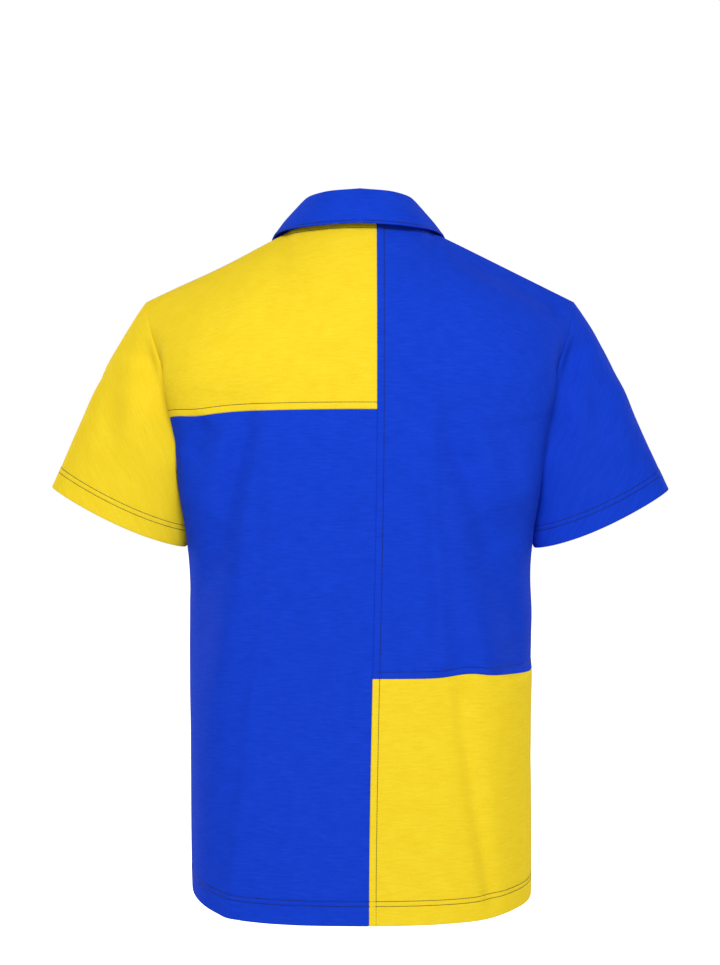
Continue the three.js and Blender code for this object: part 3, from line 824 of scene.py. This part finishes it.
# ---------------------------------------------------------------- buttons
# Three small four-hole buttons of dark blue polyester, turned with a raised rim and a dished face.
# Each stands on a shank of thread sewn to the under strip, and lies over its buttonhole.
BUTTON_PROFILE = (
    (0, 0), (4.6, 0), (5.3, 0.3), (5.6, 0.8), (5.6, 1.4), (5.45, 1.95), (5.0, 2.25), (4.5, 2.2),
    (4.05, 1.9), (3.6, 1.6), (3.0, 1.5), (0, 1.5),
)
BUTTON_HOLE = 0.82
BUTTON_SPREAD = 1.3
BUTTON_STAND = 0.9  # gap between the button and the strip
BUTTON_STEPS = 40
BUTTON_SHARP = 40  # degrees from which an edge of a button shows
HOLE_STEPS = 14
THREAD_CROSS = (4.7, 0.75, 0.7)  # the cross of thread over the holes, and how high it lies
THREAD_OVER = 1.62
SHANK_THREADS = 6
SHANK_THREAD = (2.2, 0.7, 0.7)


def button_look(tree):
    """Dyed polyester with a faint cloud in it, under a thin glossy coat."""
    cloud = node(tree, "ShaderNodeTexNoise", {
        "Vector": node(tree, "ShaderNodeTexCoord").outputs["Object"], "Scale": 420.0,
        "Detail": 3.0, "Distortion": 1.4,
    }).outputs[0]
    gloss = node(tree, "ShaderNodeMapRange", {"Value": cloud, "To Min": 0.2, "To Max": 0.34})
    return {
        "Base Color": blend(tree, cloud, (0.004, 0.010, 0.060, 1), (0.010, 0.028, 0.16, 1)),
        "Roughness": gloss.outputs[0], "Normal": bumped(tree, cloud, 0.15, 0.05),
        "Coat Weight": 0.25, "Coat Roughness": 0.12,
    }


button_plastic = surface("button_polyester", button_look)


def turned_button(name, place, normal):
    """A button turned from its profile, with four holes drilled through."""
    disc = bmesh.new()
    points = [disc.verts.new((r, 0, z)) for r, z in BUTTON_PROFILE]
    edges = [disc.edges.new(pair) for pair in zip(points, points[1:])]
    bmesh.ops.spin(disc, geom=points + edges, axis=(0, 0, 1), cent=(0, 0, 0),
                   angle=2 * math.pi, steps=BUTTON_STEPS, use_merge=True)
    bmesh.ops.remove_doubles(disc, verts=disc.verts, dist=1e-4)
    bmesh.ops.recalc_face_normals(disc, faces=disc.faces)
    drill = bmesh.new()
    for x in (-BUTTON_SPREAD, BUTTON_SPREAD):
        for y in (-BUTTON_SPREAD, BUTTON_SPREAD):
            bmesh.ops.create_cone(
                drill, cap_ends=True, segments=HOLE_STEPS, radius1=BUTTON_HOLE,
                radius2=BUTTON_HOLE, depth=8, matrix=Matrix.Translation((x, y, 0)),
            )
    piece = mesh_piece(name, disc, button_plastic)
    cutter = mesh_piece("drill", drill, button_plastic)
    holes = piece.modifiers.new("holes", "BOOLEAN")
    holes.object = cutter
    holes.operation = "DIFFERENCE"
    drilled = work_in(piece, holes, BUTTON_SHARP)
    bpy.data.objects.remove(cutter)
    turn = normal.to_track_quat("Z", "Y").to_matrix().to_4x4()
    drilled.transform(Matrix.Translation(place * MM) @ turn @ Matrix.Scale(MM, 4))
    return piece


for name, level in BUTTON_HEIGHTS.items():
    place, normal = cloth(-1, 0.0, height_at(-1, level), OVER_FACE + BUTTON_STAND)
    button = turned_button(f"{name}_turned", place, normal)
    sewing = bmesh.new()
    up = normal.cross(crossways).normalized()
    for lean in (-1, 1):
        across = (up + crossways * lean).normalized()
        lay_thread(sewing, place + normal * THREAD_OVER, across, normal, *THREAD_CROSS)
    for angle in range(SHANK_THREADS):
        outwards = up * math.sin(angle) + crossways * math.cos(angle)
        foot = place - normal * 0.4 + outwards * 0.7
        lay_thread(sewing, foot, normal, outwards, *SHANK_THREAD)
    sewn = mesh_piece(f"{name}_thread", sewing, navy_thread)
    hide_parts(name)
    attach(button, "root")
    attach(sewn, "root")

# ---------------------------------------------------------------- back panels
# The back is four panels, two yellow and two blue, set crosswise. A seam down the middle and one
# cross seam on each side join them, each with its allowances stitched flat by one row.
yellow_jersey = jersey(
    "yellow_jersey_knit", (0.94, 0.70, 0.024), (0.98, 0.78, 0.055), (0.90, 0.635, 0.017), 0.65,
)


cloths = {"yellow_jersey": yellow_jersey, "blue_jersey": blue_jersey}
SEAM_LOW = 9.0  # how far right of the middle the centre back seam runs at the hem, and higher up
SEAM_HIGH = 17.0


def centre_seam(h):
    """Share of the centre back seam, which wanders a little off the middle."""
    return -share_at(1, mix(SEAM_LOW, SEAM_HIGH, smooth((h - HEM) / (BLADE - HEM))), h)


def centre_path(low, high, step=5.0):
    """Points with normals down the row of stitches beside the centre back seam."""
    count = int((high - low) / step)
    heights = (mix(high, low, i / count) for i in range(count + 1))
    return [cloth(1, centre_seam(h) - SEAM_STITCH / cloth_width(1, h), h) for h in heights]


def side_seam(share):
    return lambda h: share


# The panels: place, cloth, heights of the top and bottom, side edges, how the top, bottom, first
# and last edges are finished, counts of rows and columns, flat cut and its area, stitch rows.
for place, finish, top, bottom, first, last, kinds, counts, flat, area, paths in (
    ("left_upper", "yellow_jersey", 0.0, LEFT_CROSS, centre_seam, side_seam(1.0),
     ("stitched", "stitched", "seam", "seam"), (38, 68), (0.305, 0.21), 0.052,
     [neck_path(1, -0.06, neck_side),
      row_path(1, LEFT_CROSS + SEAM_STITCH, centre_seam(LEFT_CROSS), 0.99)]),
    ("left_lower", "blue_jersey", LEFT_CROSS, HEM, centre_seam, side_seam(1.0),
     ("seam", "hem", "seam", "seam"), (118, 68), (0.30, 0.54), 0.148,
     hem_paths(1, centre_seam(HEM), 1)),
    ("right_upper", "blue_jersey", 0.0, RIGHT_CROSS, side_seam(-1.0), centre_seam,
     ("stitched", "stitched", "seam", "stitched"), (104, 62), (0.275, 0.475), 0.112,
     [neck_path(1, -neck_side, -0.07),
      row_path(1, RIGHT_CROSS + SEAM_STITCH, -1, centre_seam(RIGHT_CROSS)),
      centre_path(RIGHT_CROSS + 1, -2)]),
    ("right_lower", "yellow_jersey", RIGHT_CROSS, HEM, side_seam(-1.0), centre_seam,
     ("seam", "hem", "seam", "stitched"), (50, 62), (0.245, 0.276), 0.067,
     [*hem_paths(1, -1, centre_seam(HEM)), centre_path(HEM + 1, RIGHT_CROSS - 1)]),
):
    piece = body_panel(
        f"back_panel_{place}", 1, cloths[finish], top, bottom, first, last, kinds, counts,
    )
    stitches = stitch_rows(f"back_{place}_stitches", paths)
    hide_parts(f"back_{place}")
    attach(piece, "root")
    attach(stitches, "root")

# ---------------------------------------------------------------- collar
# A turned-down collar of the same blue jersey, doubled and fused so that it keeps its shape: a
# stand sewn into the neck seam, and a leaf that rolls over it, stitched 3 mm inside its edge.
NECK_END = 0.42  # collar station at the shoulder seam
FRONT_GAP = 3.0
COLLAR_RIGHT = 0.965  # the right half lies a little closer
COLLAR_STITCH = 3.0
COLLAR_STEPS = 62
END_STATIONS = (0.97, 0.982, 0.986, 0.989, 0.994, 0.997, 1)
HALF_NECK = 225.0  # cloth from the centre back to an end of the stand
HALF_EDGE = 250.0  # and of the leaf
STAND_HIGH = 30.0
STAND_STEPS = 8
STAND_WALL = 1.6
LEAF_START = 0.22  # share of the way down at which the leaf hangs flat
LEAF_STEPS = 15
LEAF_EDGE = (0, 1.2, 2.5, 3.0, 3.5, 5, 8)
LEAF_TURNED = 90
COLLAR = table(
    "at roll_x roll_y roll_z edge_x edge_y edge_z",
    (0.0, 0, 45, 42.5, 0, 65, 11),
    (0.2, 36, 34, 39.5, 50, 51, 8),
    (0.42, 57, 3, 31, 87, 5, 1),
    (0.6, 55, -26, 12, 91, -46, -20),
    (0.8, 36, -50, -18, 76, -88, -68),
    (1.0, 4, -60, -40, 47, -112, -116),
)
# Across the leaf: share of the way down, how far it stands out, and up, from the roll.
LEAF = table(
    "row down out up",
    (0, 0.0, -1.8, -1.5),
    (1, 0.0, -1.6, 2.0),
    (2, 0.0, 0.6, 3.4),
    (3, 0.0, 3.2, 1.6),
    (4, 0.22, 4.6, 0.0),
    (5, 0.6, 3.4, 0.0),
    (6, 1.0, 0.0, 0.0),
)


def neck_seam(at):
    """The neck seam by collar station, from the centre back round to the centre front."""
    side = 1 if at <= NECK_END else -1
    part = at / NECK_END if side > 0 else (1 - at) / (1 - NECK_END)
    own, other = top_edge(side, part * NECK_SHARE), top_edge(-side, part * NECK_SHARE)
    share = 0.5 * smooth((0.05 - abs(at - NECK_END)) / 0.05)
    depth = mix(own.y, -other.y, share)
    return Vector((mix(own.x, other.x, share), side * depth, mix(own.z, other.z, share)))


def collar_station(at):
    """Foot, roll and leaf edge at a station, and the level direction away from the neck."""
    foot = neck_seam(at)
    foot.x = max(foot.x, FRONT_GAP)
    roll, edge = (
        Vector([reading(COLLAR, "at", f"{line}_{axis}", at) for axis in "xyz"])
        for line in ("roll", "edge")
    )
    roll.x = max(roll.x, FRONT_GAP if at > 0.5 else 0)
    away = Vector((0.5 if at > 0.93 else roll.x * 0.9, roll.y, 0)).normalized()
    return foot, roll, edge, away


def halves(p, sign):
    return Vector((p.x * (1 if sign > 0 else -COLLAR_RIGHT), p.y, p.z))


def leaf_row(down):
    """Row of the leaf's table that lies a share of the way down."""
    return solve(3.0, 6.0, lambda row: reading(LEAF, "row", "down", row) < down)


def leaf_point(at, sign, row, lift=0.0):
    """A place on the face of the leaf, on one half of the collar."""
    _, roll, edge, away = collar_station(at)
    p = roll.lerp(edge, reading(LEAF, "row", "down", row))
    p += away * (reading(LEAF, "row", "out", row) + lift)
    p.z += reading(LEAF, "row", "up", row)
    p = halves(p, sign)
    loose = smooth((row - 3.5) / 2)
    return p + halves(away, sign) * loose * 1.1 * noise.noise(Vector((p.x / 34, p.y / 40, 5 + at)))


collar_half = [i / COLLAR_STEPS * END_STATIONS[0] for i in range(COLLAR_STEPS)]
collar_half += END_STATIONS
collar_stations = [(at, -1) for at in reversed(collar_half)] + [(at, 1) for at in collar_half[1:]]

stand_rows, stand_cut = [], []
for i in range(STAND_STEPS + 1):
    up = 1 - i / STAND_STEPS
    row, flat = [], []
    for at, sign in collar_stations:
        foot, roll, _, away = collar_station(at)
        p = foot.lerp(roll, up) + away * (1.2 * math.sin(math.pi * up))
        row.append(halves(p, sign))
        flat.append((sign * at * HALF_NECK, up * STAND_HIGH))
    stand_rows.append(row)
    stand_cut.append(flat)
collar_stand = cloth_piece("collar_stand_band", stand_rows, stand_cut, blue_jersey, STAND_WALL)


def leaf_places(deep):
    """Rows of the leaf's table from the roll down to its edge, each with its gap to the fold
    there if it is near."""
    over = [(row, 9e9) for row in (*(i / 5 for i in range(16)), 3.25, 3.5, 3.75, 4.0)]
    low = 1 - LEAF_EDGE[-1] / deep
    over += [(leaf_row(mix(LEAF_START, low, i / LEAF_STEPS)), 9e9) for i in range(1, LEAF_STEPS)]
    return over + [(leaf_row(1 - (gap + 1) / deep), gap + 1) for gap in reversed(LEAF_EDGE)]


leaf_columns = []
for at, sign in collar_stations:
    _, roll, edge, _ = collar_station(at)
    deep, from_end, column = (edge - roll).length, (1 - at) * HALF_EDGE, []
    for where, gap in leaf_places(deep):
        face = -0.8 * clamp(1 - from_end / 1.6) ** 2
        face -= 0.3 * bell(from_end - COLLAR_STITCH, 0.5) * smooth(where - 3)
        face -= 0.3 * bell(gap - COLLAR_STITCH, 0.5)
        down = reading(LEAF, "row", "down", where) * deep
        column.append((leaf_point(at, sign, where, face), (sign * at * HALF_NECK, -down)))
    leaf_columns.append(column)
leaf_rows = [[p for p, _ in line] for line in zip(*leaf_columns)]
leaf_cut = [[flat for _, flat in line] for line in zip(*leaf_columns)]
leaf_rows, leaf_cut = turn_under(leaf_rows, leaf_cut, LEAF_TURNED)
collar_leaf = cloth_piece("collar_leaf_turned", leaf_rows, leaf_cut, blue_jersey)


def leaf_path(places):
    """Points with normals on the face of the leaf."""
    path = []
    for at, sign, row in places:
        p = leaf_point(at, sign, row)
        down = leaf_point(at, sign, min(row + 0.05, 6)) - p
        along = leaf_point(min(at + 0.01, 1), sign, row) - leaf_point(at - 0.01, sign, row)
        normal = (along.cross(down) * sign).normalized()
        path.append((p, normal))
    return path


def leaf_inset(at):
    _, roll, edge, _ = collar_station(at)
    return leaf_row(1 - COLLAR_STITCH / (edge - roll).length)


end_station = 1 - COLLAR_STITCH / HALF_EDGE
round_edge = [(i / 70 * end_station, leaf_inset(i / 70 * end_station)) for i in range(1, 71)]
end_rows = [mix(leaf_inset(end_station), 3.4, i / 24) for i in range(25)]
collar_paths = [leaf_path([(at, -1, row) for at, row in reversed(round_edge)]
                          + [(at, 1, row) for at, row in round_edge])]
collar_paths += [leaf_path([(end_station, sign, row) for row in end_rows]) for sign in (-1, 1)]
collar_stitches = stitch_rows("collar_stitches", collar_paths)

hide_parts("collar_stand")
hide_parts("collar_leaf")
for piece in (collar_stand, collar_leaf, collar_stitches):
    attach(piece, "root")

# ---------------------------------------------------------------- sleeves
# One short sleeve is yellow, the other blue. Each is set into its armhole, closed by a seam under
# the arm, and hemmed like the body: turned up inside and held by two rows of stitches.
CUFF_X = 248.5
CUFF_Z = -289.0
CUFF_OUT = 69.0
CUFF_DROP = 31.0
CUFF_DEEP = {1: 39.0, -1: 47.0}
CUFF_BOW = 8.0
CUFF_LOW = {1: 0.0, -1: 3.0}  # the right sleeve hangs lower
CUFF_TURNED = 24.0
CUFF_MIDDLE = 20.0  # between its two rows of stitches
ARMHOLE_STEPS = 130
# Ways in which the cloth leaves the armhole, at its top, middle and foot, and reaches the cuff.
LEAD_TOP = Vector((0.6, 0, -0.8))
LEAD_MIDDLE = Vector((0.72, 0, -0.66))
LEAD_UNDER = Vector((0.34, 0, -0.99))
CUFF_LEAD = Vector((0.42, 0, -0.91))
LEAD_REACH = 0.95
UNDER_OUT = 0.9
SLEEVE_ROUND = 48  # columns on each of its two halves
SLEEVE_PITCH = 4.0  # cloth between them
SLEEVE_ROWS = 46
SLEEVE_STEPS = 60
ALLOWANCE = 3.0  # turned in at the armhole, and how far it lies under the body's edge
ALLOWANCE_UNDER = 0.4
SIDE_HEIGHTS = [-186.0 - 6 * i for i in range(30)]  # down the body beside the sleeves
SIDE_FIRST = 0.7  # share from which they count
SIDE_STEPS = 24
SLEEVE_CLEAR = 0.9  # gap kept between a sleeve and the body's side
# Pull creases and soft lines, as for the body, by sleeve.
SLEEVE_FOLDS = {
    1: (
        (1, 7, -2.2, 0.2, 0.3, ((246, -112), (236, -118), (212, -128), (204, -134))),
        (1, 14, -4, 0.2, 0.3, ((222, -92), (212, -140), (204, -190), (200, -240))),
        (1, 13, -2.8, 0.3, 0.35, ((251, -120), (255, -170), (257, -240))),
        (1, 12, 2.2, 0.3, 0.35, ((238, -140), (232, -190), (224, -250))),
        (-1, 9, -2.4, 0.3, 0.35, ((244, -104), (228, -120), (208, -136))),
        (-1, 14, -3.0, 0.3, 0.35, ((262, -130), (268, -190), (274, -250))),
        (-1, 12, 2.2, 0.3, 0.35, ((236, -140), (240, -200), (238, -262))),
    ),
    -1: (
        (1, 7, -2.4, 0.2, 0.3, ((238, -110), (230, -114), (207, -125), (200, -131))),
        (1, 16, -7, 0.2, 0.3, ((220, -88), (211, -140), (203, -190), (199, -240))),
        (1, 14, -3.2, 0.3, 0.35, ((244, -132), (243, -180), (238, -235))),
        (1, 12, 2.0, 0.3, 0.35, ((262, -130), (270, -190), (276, -250))),
        (-1, 9, -2.4, 0.3, 0.35, ((248, -108), (230, -118), (206, -130))),
        (-1, 14, -2.8, 0.3, 0.35, ((258, -132), (262, -190), (266, -250))),
        (-1, 12, 2.0, 0.3, 0.35, ((238, -150), (234, -205), (230, -258))),
    ),
}


def running(points):
    """Lengths run along a line of points."""
    runs = [0.0]
    for a, b in zip(points, points[1:]):
        runs.append(runs[-1] + (b - a).length)
    return runs


armhole_heights = [UNDERARM * i / ARMHOLE_STEPS for i in range(ARMHOLE_STEPS + 1)]
armhole_runs = {
    side: running([body_form(side, 1.0, h) for h in armhole_heights]) for side in (1, -1)
}


def armhole_point(side, share):
    """A place on the armhole, share 0 at the shoulder tip and 1 at the underarm."""
    runs = armhole_runs[side]
    i, t = step_at(runs, clamp(share) * runs[-1])
    return body_form(side, 1.0, mix(armhole_heights[i], armhole_heights[i + 1], t))


def sleeve_form(side, share, t):
    """The plain form of the left sleeve below one armhole point, t from 0 to 1 at its edge."""
    angle = share * math.pi
    turn = math.sin(angle)
    start = armhole_point(side, share)
    end = Vector((
        CUFF_X + CUFF_OUT * math.cos(angle) - 0.4 * CUFF_BOW * turn ** 2,
        side * CUFF_DEEP[side] * max(turn, 0.0) ** 0.74,
        CUFF_Z + CUFF_DROP * math.cos(angle) - 0.92 * CUFF_BOW * turn ** 2,
    ))
    reach = (end - start).length * LEAD_REACH
    under = smooth((share - 0.5) / 0.5)
    lead = LEAD_MIDDLE.lerp(LEAD_TOP, smooth((0.5 - share) / 0.5)).lerp(LEAD_UNDER, under)
    start.x += UNDER_OUT * under
    return hermite(start, lead.normalized() * reach, end, CUFF_LEAD * reach, t)


def side_row(sign, h):
    """One level of the body's finished side: y with x and z, from the front round to the back."""
    shares = [sign * mix(SIDE_FIRST, 1, i / SIDE_STEPS) for i in range(SIDE_STEPS + 1)]
    points = [cloth(side, s, h)[0] for side in (1, -1) for s in shares]
    return sorted((p.y, abs(p.x), p.z) for p in points)


def side_out(rows, y, z):
    """How far out the body's side stands at one place, from its rows."""
    last = None
    for row in rows:
        i = int(clamp(bisect_right(row, (y,)) - 1, 0, len(row) - 2))
        a, b = row[i], row[i + 1]
        t = clamp((y - a[0]) / max(b[0] - a[0], 1e-6))
        x, high = mix(a[1], b[1], t), mix(a[2], b[2], t)
        if high <= z:
            if last is None:
                return x
            return mix(x, last[0], clamp((z - high) / max(last[1] - high, 1e-6)))
        last = (x, high)
    return 0.0


def pushed(rows, p, from_top):
    """How far a place under the arm moves out to stay clear of the body's side."""
    inside = side_out(rows, p.y, p.z) + SLEEVE_CLEAR - p.x
    return (inside + math.hypot(inside, 1.2)) / 2 * smooth(from_top / 5)


def sleeve_rows(sign):
    """Rows of the finished sleeve from armhole to cuff, its flat cut, and how far above its edge
    each row lies at the underarm."""
    turns = [(1, 1 - i / SLEEVE_ROUND) for i in range(SLEEVE_ROUND)]
    turns += [(-1, i / SLEEVE_ROUND) for i in range(SLEEVE_ROUND + 1)]
    columns, ways = [], []
    for side, share in turns:
        fine = [sleeve_form(side, share, i / SLEEVE_STEPS) for i in range(SLEEVE_STEPS + 1)]
        runs = running(fine)
        way = ladder(runs[-1], EDGE_ROWS["seam"], EDGE_ROWS["cuff"], SLEEVE_ROWS)
        way.append(runs[-1] - 1)
        steps = (sum(step_at(runs, place)) / SLEEVE_STEPS for place in way)
        columns.append([sleeve_form(side, share, t) for t in steps])
        ways.append([(place, runs[-1] - place) for place in way])
    rows = [list(row) for row in zip(*columns)]
    normals = grid_normals(rows, wrap=True)
    body_side = [side_row(sign, h) for h in SIDE_HEIGHTS]
    done, cut = [], []
    for i, row in enumerate(rows):
        line, flat = [], []
        for k, p in enumerate(row):
            side, share = turns[k]
            from_top, from_edge = ways[k][i]
            along = k * SLEEVE_PITCH
            from_seam = min(k, 2 * SLEEVE_ROUND - k) * SLEEVE_PITCH
            out = fold_height(SLEEVE_FOLDS[sign], side, p.x, p.z) * smooth(from_top / 12)
            out += soft_waves(Vector((p.x * sign, p.y, p.z))) * smooth((from_top - 2) / 30)
            out += pucker(along, from_edge - CUFF_MIDDLE, 10)
            out += edge_face("seam", from_top) + edge_face("cuff", from_edge)
            out += edge_face("seam", from_seam)
            q = p + normals[i][k] * out
            q.z -= CUFF_LOW[sign] * smooth(from_top / 150)
            if share > 0.5:
                q.x += pushed(body_side, q, from_top)
            line.append(Vector((q.x * sign, q.y, q.z)))
            flat.append((along - SLEEVE_ROUND * SLEEVE_PITCH, -from_top))
        done.append(line[::sign])
        cut.append(flat[::sign])
    return done, cut, [gap for _, gap in ways[0]]


for name, sign, finish in (
    ("sleeve_left", 1, "yellow_jersey"), ("sleeve_right", -1, "blue_jersey"),
):
    rows, cut, gaps = sleeve_rows(sign)
    normals = grid_normals(rows, wrap=True)
    stitch_paths = []
    for up in STITCH_ROWS["cuff"]:
        near = min(range(len(rows)), key=lambda i: abs(gaps[i] - up))
        stitch_paths.append([(p + n * 0.08, n) for p, n in zip(rows[near], normals[near])])
    rows.insert(0, [p + (p - q).normalized() * ALLOWANCE - n * ALLOWANCE_UNDER
                    for p, q, n in zip(rows[0], rows[3], normals[0])])
    cut.insert(0, [(u, v + ALLOWANCE) for u, v in cut[0]])
    rows, cut = turn_under(rows, cut, CUFF_TURNED, wrap=True)
    sleeve = cloth_piece(f"{name}_set_in", rows, cut, cloths[finish], wrap=True)
    sleeve_stitches = stitch_rows(f"{name}_stitches", stitch_paths)
    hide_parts(name)
    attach(sleeve, "root")
    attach(sleeve_stitches, "root")

# ---------------------------------------------------------------- floor, light and camera
# The shirt is shown well clear of a plain white floor, in the soft light of a white studio: one
# large lamp over the camera, which faces the back, and two low ones in front at the sides.
FLOOR_Z = -1.05
FLOOR_SIZE = 9
CAMERA_AT = Vector((0.0, 2.8, -0.10))
CAMERA_TO = Vector((0.0, 0.0, -0.254))
LENS = 101.4
ROOM_LIGHT = 0.33  # light of the white room on the shirt; the eye sees its walls as pure white

floor_shape = bmesh.new()
bmesh.ops.create_grid(floor_shape, x_segments=1, y_segments=1, size=FLOOR_SIZE,
                      matrix=Matrix.Translation((0, 0, FLOOR_Z)))
floor_paint = bpy.data.materials.new("white_floor")
floor_paint.use_nodes = True
paint = floor_paint.node_tree.nodes["Principled BSDF"]
paint.inputs["Base Color"].default_value = (0.8, 0.8, 0.8, 1)
paint.inputs["Roughness"].default_value = 0.9
paint.inputs["Emission Color"].default_value = (1, 1, 1, 1)
seen = node(floor_paint.node_tree, "ShaderNodeLightPath").outputs["Is Camera Ray"]
floor_paint.node_tree.links.new(seen, paint.inputs["Emission Strength"])
floor = mesh_piece("floor", floor_shape, floor_paint)

room = bpy.data.worlds.new("white_room")
bpy.context.scene.world = room
room.use_nodes = True
sky = room.node_tree
sky.nodes.clear()
ray = node(sky, "ShaderNodeLightPath")
level = node(sky, "ShaderNodeMapRange", {
    "Value": ray.outputs["Is Camera Ray"], "To Min": ROOM_LIGHT, "To Max": 1.0,
})
white = node(sky, "ShaderNodeBackground", {"Color": (1, 1, 1, 1), "Strength": level.outputs[0]})
sky.links.new(white.outputs[0], sky.nodes.new("ShaderNodeOutputWorld").inputs["Surface"])

for name, at, to, size, power in (
    ("key", (0, 2.75, 1.4), (0, 0, -0.3), 1.0, 68),
    ("edge_left", (2.3, -1.9, 0.2), (0, 0, -0.3), 1.4, 46),
    ("edge_right", (-2.3, -1.9, 0.2), (0, 0, -0.3), 1.4, 38),
):
    lamp = bpy.data.lights.new(name, "AREA")
    lamp.shape = "SQUARE"
    lamp.size = size
    lamp.energy = power
    stand = bpy.data.objects.new(name, lamp)
    stand.location = at
    stand.rotation_mode = "QUATERNION"
    stand.rotation_quaternion = (Vector(to) - Vector(at)).to_track_quat("-Z", "Y")
    bpy.context.scene.collection.objects.link(stand)

camera = bpy.data.objects.new("camera", bpy.data.cameras.new("camera"))
camera.data.sensor_width = 36
camera.data.lens = LENS
camera.location = CAMERA_AT
camera.rotation_mode = "QUATERNION"
camera.rotation_quaternion = (CAMERA_TO - CAMERA_AT).to_track_quat("-Z", "Y")
bpy.context.scene.collection.objects.link(camera)
bpy.context.scene.camera = camera
bpy.context.scene.view_settings.view_transform = "Standard"
